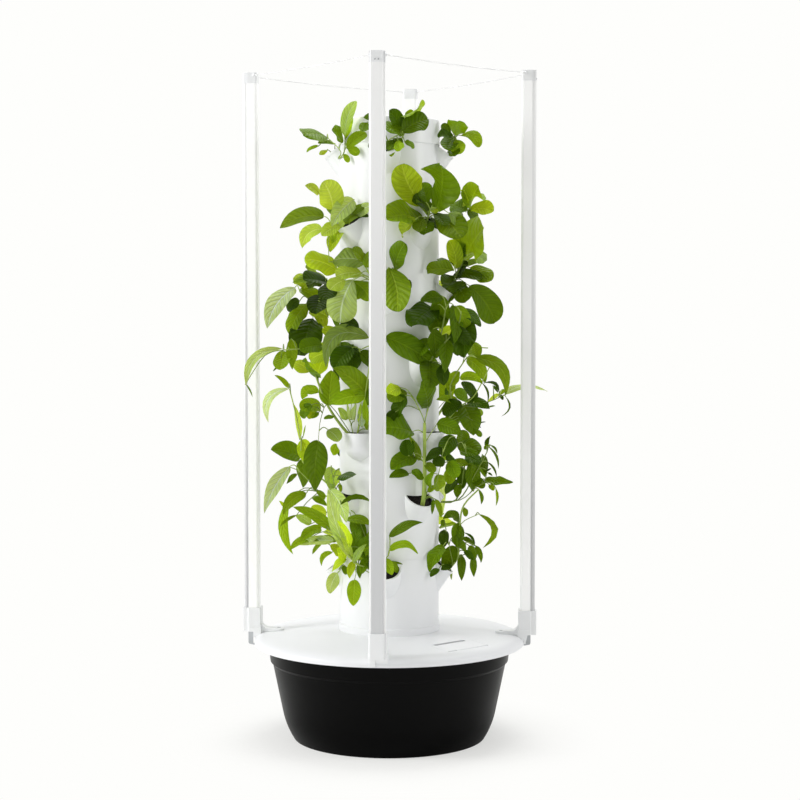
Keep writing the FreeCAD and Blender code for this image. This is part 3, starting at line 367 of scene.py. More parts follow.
white_wall = moulded("tower_plastic", "f1f2f4", 0.34, 800.0, 0.00002, "eff0f2").material
lid_white = moulded("lid_plastic", "eff0f3", 0.36, 700.0, 0.00002, "edeef1").material
bracket_white = moulded("bracket_plastic", "f3f4f5", 0.36, 900.0, 0.00004, "eff0f2").material
rubber = moulded("rubber", "0f0f10", 0.7, 1500.0, 0.0002, "191919").material
pump_plastic = moulded("pump_plastic", "16181a", 0.42, 900.0, 0.00012, "202325").material
cup_plastic = moulded("cup_plastic", "101112", 0.45, 900.0, 0.0001, "1a1b1c").material
clip_metal = moulded("clip_coating", "bfc2c5", 0.34, 900.0, 0.00004, "b2b5b8").material
tub_plastic = tub_material()
frosted_cover = cover_material()
bar_housing = housing_material()
light_board = board_material()
steel = steel_material()
medium_dark = medium_material()
cord_pale = cord_material()
leaf_green = leaf_material()
stem_green = stem_material()

MATERIALS = (
    ("tub", tub_plastic), ("lead_grommet", rubber), ("lid", lid_white), ("filling_hatch", lid_white),
    ("hatch_pin", steel), ("base_section", white_wall), ("lower_section", white_wall),
    ("middle_section", white_wall), ("upper_section", white_wall), ("top_cap", white_wall),
    ("distributor_dish", white_wall), ("riser_pipe", white_wall), ("pump_housing", pump_plastic),
    ("pump_feet", rubber), ("pump_cover", pump_plastic), ("pump_impeller", bracket_white),
    ("net_cups", cup_plastic), ("growing_medium", medium_dark), ("bracket_", bracket_white),
    ("light_housing_", bar_housing), ("light_cover_", frosted_cover), ("light_strip_", light_board),
    ("light_end_cap_", bracket_white), ("end_cap_screws", steel), ("bracket_screws", steel),
    ("rim_clips", clip_metal),
)

# A later line of the list wins where two fit a node's name
for start, material in MATERIALS:
    for name, item in nodes.items():
        if name.startswith(start):
            for place in item.material_slots:
                place.material = material
for cord in cords:
    cord.data.materials.append(cord_pale)


# Plants

ROWS = range(1, 8)
UPRIGHT_ROW = 3
LIP_HEIGHTS = (0.376, 0.534, 0.696, 0.840, 1.002, 1.146, 1.308)
LEAF_LIGHT = (1.1, 1.1, 1.1, 0.95, 0.8, 0.84, 1.08)

# Radius and heights of the tower that leaves and stems keep clear of
TOWER_CLEAR = 0.119
TOWER_LOW = 0.2
TOWER_HIGH = 1.46

# Where a plant comes out of its port, out from the axis and up from the port's lip
ROOT = (0.1231, 0.0057)
UPRIGHT_ROOT = (0.1235, -0.007)
ROOT_DEPTH = 0.012

# Stems: sides, half width at either end to the given width, and how much nearer each place is
STEM_SIDES = 6
STEM_WIDE = 0.0011
STEM_SLIM = 0.0007
STEM_STEP = 0.012
PETIOLE_WIDE = 0.0013
PETIOLE_SLIM = 0.0009
PETIOLE_SHORTEST = 0.0015

# Leaves: gain on the given width, least length to width, and sway and lean in depth
LEAF_GAIN = 1.2
LEAF_LEAST = 1.25
LEAF_SWAY = 0.022
LEAF_LEAN = 0.45

# Given width up to which a leaf is thin, and widths from which it is wide or no longer small
THIN_LEAF = 7
WIDE_LEAF = 0.034
SMALL_LEAF = 0.03

# Outline of a leaf: width to length up to which it holds, fullness towards base and tip
LEAF_SHAPES = ((0.24, 0.8, 1.0), (0.5, 0.54, 0.92), (0.62, 0.5, 0.7), (math.inf, 0.5, 0.52))
BLUNT_SHAPE = (0.72, 0.5)

# Copied leaves whose middle lies further to either side than this are left out
COPY_REACH = 0.13

# Places in the mesh's list of materials
LEAF_KIND = 0
STEM_KIND = 1

# Leaf and stem colours. The one a leaf gets goes partly by its own colour and partly by the light on it,
# so some leaves carry painted highlight and some painted shade in their colour
TONES = {
    "bright": "b2cd2c", "yellow": "bfd956", "mid": "7f9e18", "deep": "5a790a", "dark": "385404",
    "sage": "b4c898", "pale": "b8d080", "moss": "98b458", "stem": "a8be54", "stalk": "849a3a",
}


def root_of(row, angle):
    out, rise = UPRIGHT_ROOT if row == UPRIGHT_ROW else ROOT
    turn = math.radians(angle)
    return Vector((out * math.cos(turn), out * math.sin(turn), LIP_HEIGHTS[row - 1] + rise))


class Greens:
    # One row's leaves and stems, gathered into one mesh
    def __init__(self, row):
        self.row = row
        self.points = []
        self.faces = []
        self.maps = []
        self.colours = []
        self.kinds = []
        self.count = 0
        self.chance = random.Random(row * 101)

    def grid(self, points, maps, colours, across, kind, closed=False):
        # A strip of rows of points, each row with the same number of points
        start = self.count
        rows = len(points) // across
        self.points.extend(points)
        self.colours.extend(colours)
        self.count += len(points)
        last = across if closed else across - 1
        for i in range(rows - 1):
            for j in range(last):
                k = (j + 1) % across
                ring = (i * across + j, i * across + k, (i + 1) * across + k, (i + 1) * across + j)
                self.faces.append([start + p for p in ring])
                self.maps.append([maps[p] for p in ring])
                self.kinds.append(kind)

    def cap(self, points):
        self.faces.append(points)
        self.maps.append([(0, 0)] * len(points))
        self.kinds.append(STEM_KIND)

    def tube(self, line, thick, thin, tone="stem"):
        # Round stem along a line of points, narrowing to its end
        sides = STEM_SIDES
        count = len(line)
        rings = []
        spare = Vector((0.31, 0.77, 0.55))
        for i, point in enumerate(line):
            ahead = line[min(i + 1, count - 1)] - line[max(i - 1, 0)]
            if ahead.length < 1e-9:
                ahead = Vector((0, 0, 1))
            ahead.normalize()
            side = ahead.cross(spare).normalized()
            top = side.cross(ahead)
            size = thick + (thin - thick) * i / (count - 1)
            for k in range(sides):
                turn = 2 * math.pi * k / sides
                rings.append(point + (side * math.cos(turn) + top * math.sin(turn)) * size)
        colour = linear(TONES[tone])
        shift = self.chance.uniform(0.85, 1.12)
        start = self.count
        self.grid(rings, [(0.5, i / count) for i in range(count) for k in range(sides)],
                  [[part * shift for part in colour]] * len(rings), sides, STEM_KIND, True)
        self.cap([start + k for k in range(sides)][::-1])
        self.cap([start + (count - 1) * sides + k for k in range(sides)])

    def leaf(self, base, middle, tip, width, facing, tone, thin=False, blunt=False):
        # Leaf on a curve from base to tip, turned as far towards facing as the curve lets it
        chance = self.chance
        along, across = (9, 5) if thin else (21, 9) if width > WIDE_LEAF else (15, 7)
        control = middle * 2 - (base + tip) / 2
        length = (middle - base).length + (tip - middle).length
        ratio = width / max(length, 1e-6)
        shapes = [shape for limit, *shape in LEAF_SHAPES if ratio < limit]
        rise, fall = BLUNT_SHAPE if blunt else shapes[0]
        peak = (rise / (rise + fall)) ** rise * (fall / (rise + fall)) ** fall
        fold = chance.uniform(0.25, 0.6)
        curl = chance.uniform(0.12, 0.42)
        twist = chance.uniform(-0.3, 0.3)
        beat = chance.uniform(0, 6.28)
        waves = chance.choice((2.0, 3.0, 3.0, 4.0))
        ripple = chance.uniform(0.03, 0.09) * width
        light = chance.uniform(0.72, 1.34) * LEAF_LIGHT[self.row - 1]
        colour = [part * light for part in linear(TONES[tone])]
        points, maps, colours = [], [], []
        for i in range(along):
            t = (1 - math.cos(math.pi * i / (along - 1))) / 2
            spot = base * (1 - t) ** 2 + control * 2 * t * (1 - t) + tip * t * t
            ahead = (control - base) * (1 - t) + (tip - control) * t
            if ahead.length < 1e-9:
                ahead = tip - base
            ahead.normalize()
            side = ahead.cross(facing)
            if side.length < 1e-4:
                side = ahead.cross(Vector((1, 0, 0)))
            side.normalize()
            side = Matrix.Rotation(twist * (t - 0.4), 3, ahead) @ side
            top = side.cross(ahead)
            u = min(max(t, 0.004), 0.998)
            half = width / 2 * (u ** rise) * ((1 - u) ** fall) / peak
            for j in range(across):
                s = 2 * j / (across - 1) - 1
                lift = half * (fold * abs(s) - curl * s * s)
                lift += ripple * s * s * math.sin(beat + waves * math.pi * t + (0 if s > 0 else 2.1))
                points.append(spot + side * (half * s) + top * lift)
                maps.append((j / (across - 1), t))
                # Painted shade and light: each leaf is darker towards its base, inside the plant, and
                # lighter towards its edges
                shade = 1 + 0.12 * abs(s) - 0.1 * (1 - t)
                colours.append([part * shade for part in colour])
        self.grid(points, maps, colours, across, LEAF_KIND)

    def clear(self, points):
        # How far towards the camera a set of points has to come to leave the tower
        need = 0.0
        for point in points:
            inside = math.hypot(point.x, point.y) < TOWER_CLEAR
            if inside and TOWER_LOW < point.z < TOWER_HIGH:
                way = (eye - point).normalized()
                flat = math.hypot(way.x, way.y)
                middle = (point.x * way.x + point.y * way.y) / flat
                rest = point.x ** 2 + point.y ** 2 - TOWER_CLEAR ** 2
                need = max(need, (-middle + math.sqrt(max(middle ** 2 - rest, 0))) / flat)
        return need

    def placed(self, angle, leaves, stems, blunt):
        # A plant whose leaves and stems are given by their places in the photograph. Returns the
        # counts of points and faces before it, after its stems and after each leaf
        chance = self.chance
        root = root_of(self.row, angle)
        own_depth = depth_of(root)
        marks = [(self.count, len(self.faces))]
        lines = []
        for stem in stems:
            places = stem[2:]
            line = [root - Vector((0, 0, ROOT_DEPTH))]
            count = len(places) // 2
            for i in range(count):
                point = sight(places[2 * i], places[2 * i + 1], own_depth - STEM_STEP * (i + 1))
                shift = self.clear([point])
                line.append(point + (eye - point).normalized() * shift)
            line = smooth(line)
            self.tube(line, stem[0] * STEM_WIDE, stem[0] * STEM_SLIM, stem[1])
            lines.append(line)
        marks.append((self.count, len(self.faces)))
        for number, leaf in enumerate(leaves):
            x0, y0, x1, y1, size, tone = leaf[:6]
            bulge = leaf[6] if len(leaf) > 6 else None
            back = leaf[7] if len(leaf) > 7 else 0.0
            turn = number * 2.4 + 0.7
            base_depth = own_depth - STEM_STEP + LEAF_SWAY * math.sin(turn * 1.7)
            scale = own_depth / FOCAL
            flat = math.hypot(x1 - x0, y1 - y0) * scale
            width = size * scale * LEAF_GAIN
            full = max(flat * 1.04, width * LEAF_LEAST)
            deep = math.sqrt(full ** 2 - flat ** 2) + LEAF_LEAN * flat * abs(math.sin(turn))
            deep = deep if math.sin(turn) > -0.45 else -0.6 * deep
            if back:
                base_depth += 0.4 * back
                deep = -back
            base = sight(x0, y0, base_depth)
            tip = sight(x1, y1, base_depth - deep)
            if bulge is None:
                bulge = 0.08 * flat / scale * (1 if abs(x1 - x0) > 4 else 0)
            dx, dy = x1 - x0, y1 - y0
            reach = math.hypot(dx, dy) or 1.0
            side_x, side_y = dy / reach, -dx / reach
            if side_y > 0 or (abs(side_y) < 0.15 and side_x < 0):
                side_x, side_y = -side_x, -side_y
            middle = sight((x0 + x1) / 2 + side_x * bulge, (y0 + y1) / 2 + side_y * bulge,
                           base_depth - deep / 2 - 0.05 * flat)
            spots = [base, middle, tip]
            half = rightward * (width / 2)
            shift = self.clear(spots + [middle + half, middle - half])
            spots = [spot + (eye - spot).normalized() * shift for spot in spots]
            facing = -forward * chance.uniform(0.62, 0.9) + Vector((0, 0, 1)) * chance.uniform(0.3, 0.62)
            facing += rightward * chance.uniform(-0.35, 0.35)
            self.leaf(*spots, width, facing, tone, thin=size < THIN_LEAF, blunt=blunt)
            self.petiole(lines, spots[0], width)
            marks.append((self.count, len(self.faces)))
        return marks

    def petiole(self, lines, base, width):
        # Thin stalk from the nearest stem, from somewhat below the leaf's own height
        best = None
        for line in lines:
            for i, point in enumerate(line):
                gap = (point - base).length + 0.6 * max(point.z - base.z + 0.006, 0)
                if best is None or gap < best[0]:
                    best = (gap, point)
        point = best[1]
        gap = (point - base).length
        if gap < PETIOLE_SHORTEST:
            return
        lift = Vector((0, 0, 0.22 * gap))
        line = smooth([point, point.lerp(base, 0.5) + lift, base + (base - point).normalized() * 0.002])
        self.tube(line, PETIOLE_WIDE, PETIOLE_SLIM, "stalk" if width < SMALL_LEAF else "stem")

    def copied(self, marks, turn):
        # The same stems and leaves again, turned about the tower, without those that reach far out
        spin = Matrix.Rotation(math.radians(turn), 3, "Z")
        for (start, first_face), (stop, last_face) in zip(marks, marks[1:]):
            places = [spin @ point for point in self.points[start:stop]]
            if abs(sum(place.x for place in places)) > COPY_REACH * len(places):
                continue
            shift = self.count - start
            self.points.extend(places)
            self.colours.extend(self.colours[start:stop])
            for i in range(first_face, last_face):
                self.faces.append([p + shift for p in self.faces[i]])
                self.maps.append(self.maps[i])
                self.kinds.append(self.kinds[i])
            self.count += stop - start

    def finish(self):
        name = "greens_row_" + str(self.row)
        mesh = bpy.data.meshes.new(name)
        mesh.from_pydata([tuple(p) for p in self.points], [], self.faces)
        mesh.materials.append(leaf_green)
        mesh.materials.append(stem_green)
        mesh.polygons.foreach_set("material_index", self.kinds)
        mesh.polygons.foreach_set("use_smooth", [True] * len(self.faces))
        layer = mesh.uv_layers.new(name="leaf_map")
        flat = [part for face in self.maps for corner in face for part in corner]
        layer.data.foreach_set("uv", flat)
        own = mesh.color_attributes.new("leaf_colour", "FLOAT_COLOR", "POINT")
        own.data.foreach_set("color", [part for c in self.colours for part in (*c, 1.0)])
        mesh.update()
        piece = added(name, mesh)
        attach(piece, TOWER_BODY)
        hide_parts("plants_row_" + str(self.row))
        return piece


def smooth(line):
    # Points on a smooth curve through the given ones
    fine = []
    for i in range(len(line) - 1):
        before = line[max(i - 1, 0)]
        after = line[min(i + 2, len(line) - 1)]
        a, b = line[i], line[i + 1]
        for k in range(4):
            t = k / 4
            part = (a * 2 + (b - before) * t + (before * 2 - a * 5 + b * 4 - after) * t * t
                    + (a * 3 - before - b * 3 + after) * t ** 3) / 2
            fine.append(part)
    fine.append(line[-1])
    return fine


# Plants by row and angle. Leaves by their places in the photograph: base, tip, width, shade, and
# where needed the midrib's bow and how far back the tip lies; stems by width, shade and places

PLANTS = {
    (7, 180): ((
        (327, 137, 302.5, 134, 22, "deep"), (342, 143, 332, 129, 15, "deep"),
        (344.7, 136, 355.6, 101, 11, "moss"), (346, 138, 352, 117, 8.5, "mid"),
        (347, 149, 366.5, 133.5, 11, "mid"), (348, 149, 358.6, 155, 8, "mid"),
        (335, 144, 318, 143, 5, "deep"), (319, 146, 306.5, 152, 5, "mid"),
        (327.7, 150, 320, 155, 5, "bright"), (343.5, 154, 348.3, 162.6, 5, "mid"),
    ), ((1.6, "stem", 343.5, 154, 345, 140), (1.3, "stem", 341, 152, 328, 138))),
    (7, -90): ((
        (372, 120, 367, 114, 10, "dark"), (367.7, 122.6, 363, 132, 9, "deep"),
        (372, 139, 370, 151, 6, "dark"), (402, 131, 389, 111, 13, "dark"),
        (402.8, 132, 427.7, 119, 19, "deep"), (404, 133.5, 385, 128, 16, "deep"),
        (390.7, 142, 402.8, 143, 7, "deep"), (404.7, 142, 414.4, 147, 8.5, "deep"),
        (390, 144, 392, 156.5, 6, "mid"), (395, 141, 386, 149, 9, "deep"),
        (398, 141, 400, 151, 9, "mid"),
    ), ((1.5, "stem", 388, 141, 403, 133),)),
    (7, 90): ((
        (409, 124, 420, 107, 24, "mid"), (414, 126, 406, 112, 12, "mid"),
    ), ((1.5, "stem", 402, 138, 409, 128),)),
    (7, 0): ((
        (456, 136, 457.4, 121.4, 18, "deep"), (449, 137, 441.6, 124.4, 9, "deep"),
        (452.5, 137, 437.4, 134.7, 10, "dark"), (453.7, 137, 447.7, 150.4, 15, "deep"),
        (456, 139.5, 459.8, 154, 13, "mid"), (461, 136, 478.6, 147.4, 10, "mid", 7),
        (452.5, 145.6, 455, 156.5, 11, "deep"),
    ), ((1.5, "stem", 453, 143, 455, 137),)),
    (6, 225): ((
        (319, 194, 305, 185.5, 9, "yellow"), (332.7, 209, 322.9, 181.6, 22, "yellow"),
        (323.8, 216.6, 279.6, 228, 19, "mid", 5), (354, 200, 331.8, 227, 16, "pale"),
        (353, 214.6, 364, 205.7, 9, "mid"), (354, 216, 372, 205.7, 12, "pale"),
        (354, 216, 368.4, 216.4, 8, "dark"), (322, 229, 302, 248, 13, "yellow", 6),
        (325.5, 229, 332.7, 243, 9, "bright"), (337, 270, 304.5, 259, 23, "bright"),
        (340, 226, 322, 236, 12, "yellow"), (342, 230, 330, 252, 13, "bright"),
        (350, 220, 338, 229, 12, "yellow"), (357, 215, 346, 224, 11, "mid"),
    ), ((1.8, "stem", 349, 222, 336, 212), (1.4, "stem", 346, 228, 330, 232, 329, 262))),
    (6, -45): ((
        (423, 205, 402, 164, 25, "bright", -4), (436, 208, 441, 165, 42, "deep"),
        (426.4, 203, 420.6, 183, 14, "deep"), (421.5, 218, 386, 218, 25, "mid"),
        (415.6, 219.6, 402.4, 235.4, 18, "bright"), (428, 219.6, 424.8, 234.6, 14, "deep"),
        (437, 216, 461, 238, 24, "mid"), (448, 213, 464.6, 229.6, 14, "moss"),
        (432, 210, 412, 200, 15, "deep"), (434, 214, 446, 226, 14, "deep"),
        (440, 200, 459, 186, 16, "deep"), (430, 214, 416, 203, 14, "mid"),
        (434, 214, 437, 200, 11, "bright"), (424, 218, 418, 232, 12, "mid"),
        (432, 218, 440, 230, 12, "deep"),
    ), ((2.0, "stem", 428, 216, 430, 210),)),
    (6, 45): ((
        (470.4, 209.7, 478.7, 186, 22, "mid"), (470.4, 209.7, 493.6, 211.3, 14, "bright"),
        (468, 210, 476, 222, 13, "deep"), (462, 206, 466, 192, 14, "bright"),
        (466, 212, 452, 205, 16, "deep"), (462, 214, 450, 224, 14, "deep"),
    ), ((1.6, "stem", 455, 216, 468, 210),)),
    (5, 0): ((
        (466, 261, 484, 228, 40, "mid"), (456.3, 268.6, 448.8, 240.4, 14, "bright"),
        (454, 271, 427, 271, 17, "mid"), (457, 279, 468, 263.6, 14, "dark"),
        (466, 266, 481, 261, 8, "moss"), (452, 276, 481.8, 278, 12, "deep"),
        (476, 276, 491.6, 280.5, 10, "mid"), (469.3, 286, 495.2, 322.5, 24, "deep"),
        (452, 262, 440, 262, 13, "deep"), (458, 258, 466, 244, 14, "deep"),
        (455, 286, 466, 302, 15, "deep"), (458, 286, 441, 283, 16, "deep"),
        (462, 290, 446, 300, 16, "deep"), (466, 284, 452, 294, 14, "deep"),
        (470, 268, 491, 281, 16, "mid"),
    ), ((2.0, "stem", 456, 276, 463, 262),)),
    (5, -90): ((
        (395, 270, 405, 243, 20, "deep"), (389, 268, 397, 311.8, 26, "mid"),
        (369.4, 263, 333.8, 260, 20, "moss"), (362, 273, 335.8, 276.5, 14, "yellow"),
        (352.8, 279.8, 340.4, 323, 28, "pale"), (352.8, 281, 371, 300.5, 18, "mid"),
        (364, 262, 352, 250, 13, "mid"), (366, 268, 378, 252, 14, "mid"),
        (360, 282, 356, 300, 12, "mid"), (390, 282, 410, 290, 14, "deep"),
        (345, 280, 330, 290, 14, "yellow"), (333, 283, 326, 300, 16, "dark"),
    ), ((2.0, "stem", 376, 284, 366, 268), (1.5, "stem", 384, 282, 392, 269))),
    (5, 180): ((
        (326.3, 279.8, 292.3, 283, 12, "mid"), (325.5, 280.6, 308, 287.7, 14, "deep"),
        (300.2, 289.7, 324.6, 305.5, 14, "mid"), (294.8, 288, 267.4, 328.7, 18, "sage", 6),
        (299.8, 301.3, 287.3, 310.5, 11, "dark"), (306.4, 303.8, 289.8, 335.3, 16, "mid"),
        (313, 318.8, 304.7, 356, 28, "dark"), (328, 317, 309.7, 310.5, 14, "bright"),
        (330, 285, 338, 300, 16, "mid"), (322, 296, 316, 314, 18, "dark"),
        (331, 300, 342, 318, 14, "deep"), (318, 276, 306, 268, 13, "mid"),
        (314, 284, 293, 279, 15, "bright"), (328, 284, 303, 279, 20, "dark"),
        (311, 303, 325, 327.5, 14, "bright"),
    ), ((2.0, "stalk", 334, 290, 326, 282), (1.6, "stalk", 328, 296, 312, 300, 300, 292))),
    (4, 225): ((
        (368.5, 337.5, 326, 367, 16, "moss", 20), (352.8, 347.8, 334.6, 369, 18, "dark"),
        (386, 337, 440.5, 370.5, 21, "deep", 3), (283, 349, 246, 386, 9.5, "pale", 13),
        (245.8, 384, 252.5, 397.5, 1.5, "deep", 1), (280, 366, 273, 371.6, 2, "deep"),
        (286, 352, 281, 369.5, 15, "mid"), (291.5, 339.5, 292.3, 369.3, 10, "mid"),
        (353, 345, 352, 373, 16, "dark"), (340, 343, 350, 352, 10, "deep"),
        (340, 325, 359, 328, 11, "dark", 3), (345, 352, 326, 348, 14, "mid"),
        (334, 352, 310, 360, 18, "bright"), (322, 346, 300, 350, 16, "deep"),
        (340, 342, 322, 330, 14, "bright"), (360, 352, 372, 366, 12, "deep"),
    ), ((2.0, "stem", 348, 354, 336, 346, 312, 348, 284, 350), (1.6, "stem", 360, 350, 388, 341))),
    (4, -45): ((
        (434, 308, 413, 326, 26, "dark"), (442.5, 297.5, 420.6, 301.5, 12, "deep"),
        (441, 296, 441, 329, 17, "deep"), (453, 305, 454, 343.5, 12, "deep", 3),
        (455.9, 306.4, 467.5, 333, 12, "mid"), (461, 309, 481, 326.5, 13, "dark"),
        (464.8, 320.7, 463.9, 358, 22, "dark"), (434, 329, 436, 358, 14, "deep"),
        (446, 334, 445, 372.5, 13, "deep"), (430, 361, 429, 388, 21, "deep"),
        (442, 365, 444, 385.5, 11, "dark"), (446, 316, 430, 332, 14, "deep"),
        (456, 330, 458, 356, 14, "dark"), (452, 330, 470, 345, 13, "dark"),
        (430, 340, 418, 356, 14, "deep"),
    ), ((2.2, "stalk", 436, 350, 442, 330, 446, 306), (1.8, "stalk", 436, 352, 456, 330, 461, 314))),
    (3, -32): ((
        (467, 358.5, 485.5, 383, 12, "mid", 4), (476, 358, 505.5, 395.5, 12, "mid", 13),
        (476, 358, 473, 342, 13, "mid"), (460, 378.5, 483, 384, 8.5, "mid", 4.5),
        (505, 394, 547, 391.5, 13, "pale", 7, 0.16), (476, 400, 461, 383, 13, "dark"),
        (458.6, 403.2, 436.3, 399.6, 9, "mid"), (462, 405, 442.5, 413, 15, "dark"),
        (463, 405, 472.8, 435.4, 19, "deep"), (467, 402, 489.5, 409, 11, "dark", 2),
        (474.6, 430, 480.9, 437, 6, "deep"), (478, 409, 480, 417, 7, "mid"),
        (499.6, 394.3, 488, 402.3, 4, "yellow"), (505.4, 396.6, 501.3, 416.3, 1.8, "deep", -6.5),
        (500, 394, 506, 390, 4, "mid"), (501, 395, 503, 400, 3, "dark"),
        (484, 383, 499, 393, 3.5, "dark", 6), (493, 386, 498, 393, 3, "dark"),
        (482, 383, 487.3, 403.5, 2, "deep", 3.5), (488, 407.5, 495.5, 406, 1.6, "deep"),
        (478, 424, 486, 422, 1.3, "dark"), (478, 425, 481, 428, 1.3, "dark"),
        (452, 386, 460, 372, 10, "mid"), (450, 392, 452, 376, 8, "mid"),
        (468, 400, 454, 392, 11, "deep"), (458, 412, 448, 432, 13, "deep"),
    ), ((1.8, "stem", 452, 412, 450.5, 385, 465.7, 359), (1.5, "stem", 456, 410, 474, 396, 490, 366),
        (1.2, "stalk", 458, 408, 488, 402, 506, 394))),
    (3, -122): ((
        (366.6, 394.8, 331.8, 368, 20, "mid"), (364.8, 395.7, 330, 404.6, 15, "mid"),
        (318, 393, 302, 399, 10, "mid", 6), (320.5, 405, 300, 409, 15, "mid", 1),
        (312, 405, 302, 418, 11, "deep"), (312, 408, 308.8, 419, 7, "bright"),
        (318.8, 412.7, 311.3, 418.5, 5, "deep"), (328.2, 405.5, 331.8, 370.7, 18, "mid"),
        (329, 402, 327.6, 389, 5, "dark"), (328, 430, 339, 441.3, 12, "moss"),
        (318.5, 441, 315.5, 491, 20, "deep", 2), (367, 430, 365, 398, 8, "mid"),
        (362, 427, 361, 404, 7, "sage"), (350, 422, 347, 402, 3, "pale"),
        (354, 422, 356, 400, 3, "sage"), (358, 422, 361, 402, 3, "yellow"),
        (316, 378, 304, 362, 18, "deep"), (318, 376, 326, 356, 16, "bright"),
        (346, 420, 338, 408, 7, "moss"), (352, 420, 356, 404, 6, "pale"),
        (310, 372, 294, 362, 15, "bright"), (334, 416, 324, 419, 6, "deep"),
        (366, 405, 374, 388, 12, "deep"),
    ), ((3.4, "stem", 340.7, 425, 326.4, 403, 316.6, 378),
        (2.0, "stem", 360, 420, 364.8, 396, 370, 360), (1.0, "stalk", 330, 405, 321, 418, 318.3, 441.5),
        (1.0, "stem", 350, 420, 352, 402))),
    (2, -50): ((
        (428, 408, 421, 382, 21, "deep"), (407, 393, 388, 400, 14, "mid"),
        (406, 396, 396, 417, 14, "dark"), (400, 388, 388, 394, 12, "bright"),
        (396, 412, 388, 422, 9, "dark"), (412.5, 432, 376, 429, 27, "deep"),
        (419.3, 460.4, 406.8, 434.5, 8, "mid"), (409, 456, 406, 439.5, 13, "dark"),
        (415, 457, 390.5, 469, 16, "deep", 2), (408.6, 473.8, 389.4, 477.8, 9, "deep"),
        (437, 423.5, 460.5, 434, 14, "deep"), (455, 437, 442, 456.8, 15, "dark"),
        (446, 456, 452, 468, 10, "dark"), (448, 462, 456, 478, 12, "deep"),
        (452, 466, 449, 484, 11, "mid"), (428, 492, 436, 486, 5, "mid"),
        (442.5, 448.8, 425.5, 462, 8, "dark"), (444, 449.6, 447.9, 459.5, 9, "mid"),
        (433.6, 457.7, 442.5, 466.6, 10, "dark"), (425, 463, 434, 473, 9, "mid"),
        (438, 474.6, 439, 490, 13, "mid"), (433.6, 498.8, 431.8, 514.8, 3.5, "deep"),
        (435.4, 499.6, 441, 518.4, 5, "mid"), (422, 480, 412, 470, 8, "deep"),
        (428, 486, 434, 472, 8, "deep"),
    ), ((5.0, "stem", 424.6, 488, 424.6, 450, 424.6, 423),
        (1.6, "stem", 424.6, 450, 424.6, 423, 415, 401),
        (1.6, "stem", 424.6, 450, 424.8, 423, 428.5, 408),
        (1.2, "stem", 424.6, 450, 425, 443, 437, 424), (1.2, "stalk", 428, 490, 436, 484, 443, 452))),
    (2, 40): ((
        (458, 444, 480, 453, 16, "deep"), (450.5, 463, 472, 466, 8, "mid"),
        (473.8, 458.6, 484.9, 477.3, 8, "deep"), (482.7, 455, 486, 475, 7, "deep"),
        (471, 462, 473.8, 491.5, 15, "deep"), (461, 467, 462.5, 489, 10, "dark"),
        (457, 480, 446, 494.3, 9, "dark"), (460, 484.5, 456, 497, 7, "deep"),
        (484.5, 480, 513, 482, 9.5, "deep", -1), (489, 485, 493.4, 490.7, 5, "mid"),
        (495.5, 488, 495.8, 506, 2.5, "mid", 1.8), (478.5, 489.5, 481, 504.5, 3.5, "deep", 2.2),
        (488, 446.5, 498.3, 469, 2.5, "deep", 3.5), (489.8, 445, 497, 454, 2.5, "deep", 2),
        (486, 447, 490.3, 436, 4, "dark"), (490, 446, 484, 449, 4, "deep"),
        (487, 471, 491.5, 468.5, 2, "dark"), (488, 473, 492.5, 476, 2, "dark"),
        (487, 462, 496.5, 477.3, 2, "deep", 2.5), (460, 452, 478, 456, 9, "deep"),
        (464, 446, 462, 430, 12, "deep"), (466, 456, 480, 464, 12, "dark"),
        (472, 480, 484, 488, 9, "deep"),
    ), ((2.0, "stalk", 456, 500, 464, 470, 466, 446), (1.6, "stalk", 458, 500, 474, 476, 487, 452),
        (1.2, "stalk", 460, 500, 478, 486, 490, 482))),
    (2, 220): ((
        (301, 457, 270.8, 449.8, 17, "deep"), (301, 440, 306, 462, 13, "bright"),
        (303, 459, 302.7, 487.5, 13, "deep"), (303, 438, 305.8, 424.5, 1.8, "mid"),
        (288.9, 388.6, 268.5, 422.5, 8.5, "sage", 12), (288.9, 387.7, 274.6, 375.2, 5, "mid"),
        (289.5, 467, 264.5, 513.5, 12.5, "sage", 3.5), (297, 474.3, 286.7, 484, 5, "deep"),
        (330.9, 467, 330.9, 490.4, 12, "moss"), (339, 470, 333.6, 489.5, 9, "yellow"),
        (339, 476, 352.5, 477, 17, "dark"), (299.5, 440, 293.8, 404, 5.5, "yellow", 2),
        (340, 484, 341, 492, 4, "mid"), (306, 494, 283, 515, 10.5, "mid", 5),
        (289, 500, 293.3, 554.5, 8.5, "mid", -8), (284.5, 507, 279, 500.8, 3, "bright"),
        (297, 515, 279.8, 527, 3, "mid"), (312, 498, 327.3, 506, 7, "deep"),
        (316.6, 490.7, 324.6, 499.6, 6, "mid"), (326.4, 513, 310.8, 511, 12, "bright"),
        (340.7, 504.5, 372.9, 503.5, 5, "deep", 7.5), (346, 519, 372, 526, 11, "mid"),
        (352, 520, 362, 541, 13, "deep"), (368, 545, 372, 530, 8, "mid"),
        (330, 490, 346, 523, 13, "pale"),
    ), ((2.0, "stem", 345, 506, 330, 486, 303, 462, 301, 441, 296, 415, 289.5, 389),
        (1.6, "stem", 346, 506, 336, 490, 331, 468),
        (1.2, "stem", 345, 506, 320, 492, 300, 472, 289, 467))),
    (1, -90): ((
        (352, 560, 328, 488, 12, "pale", -4), (332.7, 529.6, 292.5, 506.8, 11, "mid"),
        (310.4, 524.6, 296, 515.7, 9, "moss"), (321, 528, 300, 541, 11, "mid"),
        (333.5, 541, 298, 545, 9, "pale", 2.5), (312, 537, 290, 549.5, 9, "mid", 2),
        (336, 541, 314, 541, 7, "mid"), (359, 548, 372, 540, 9, "deep"),
        (360, 552, 370, 566, 9, "deep"), (368, 558, 362, 574, 8, "deep"),
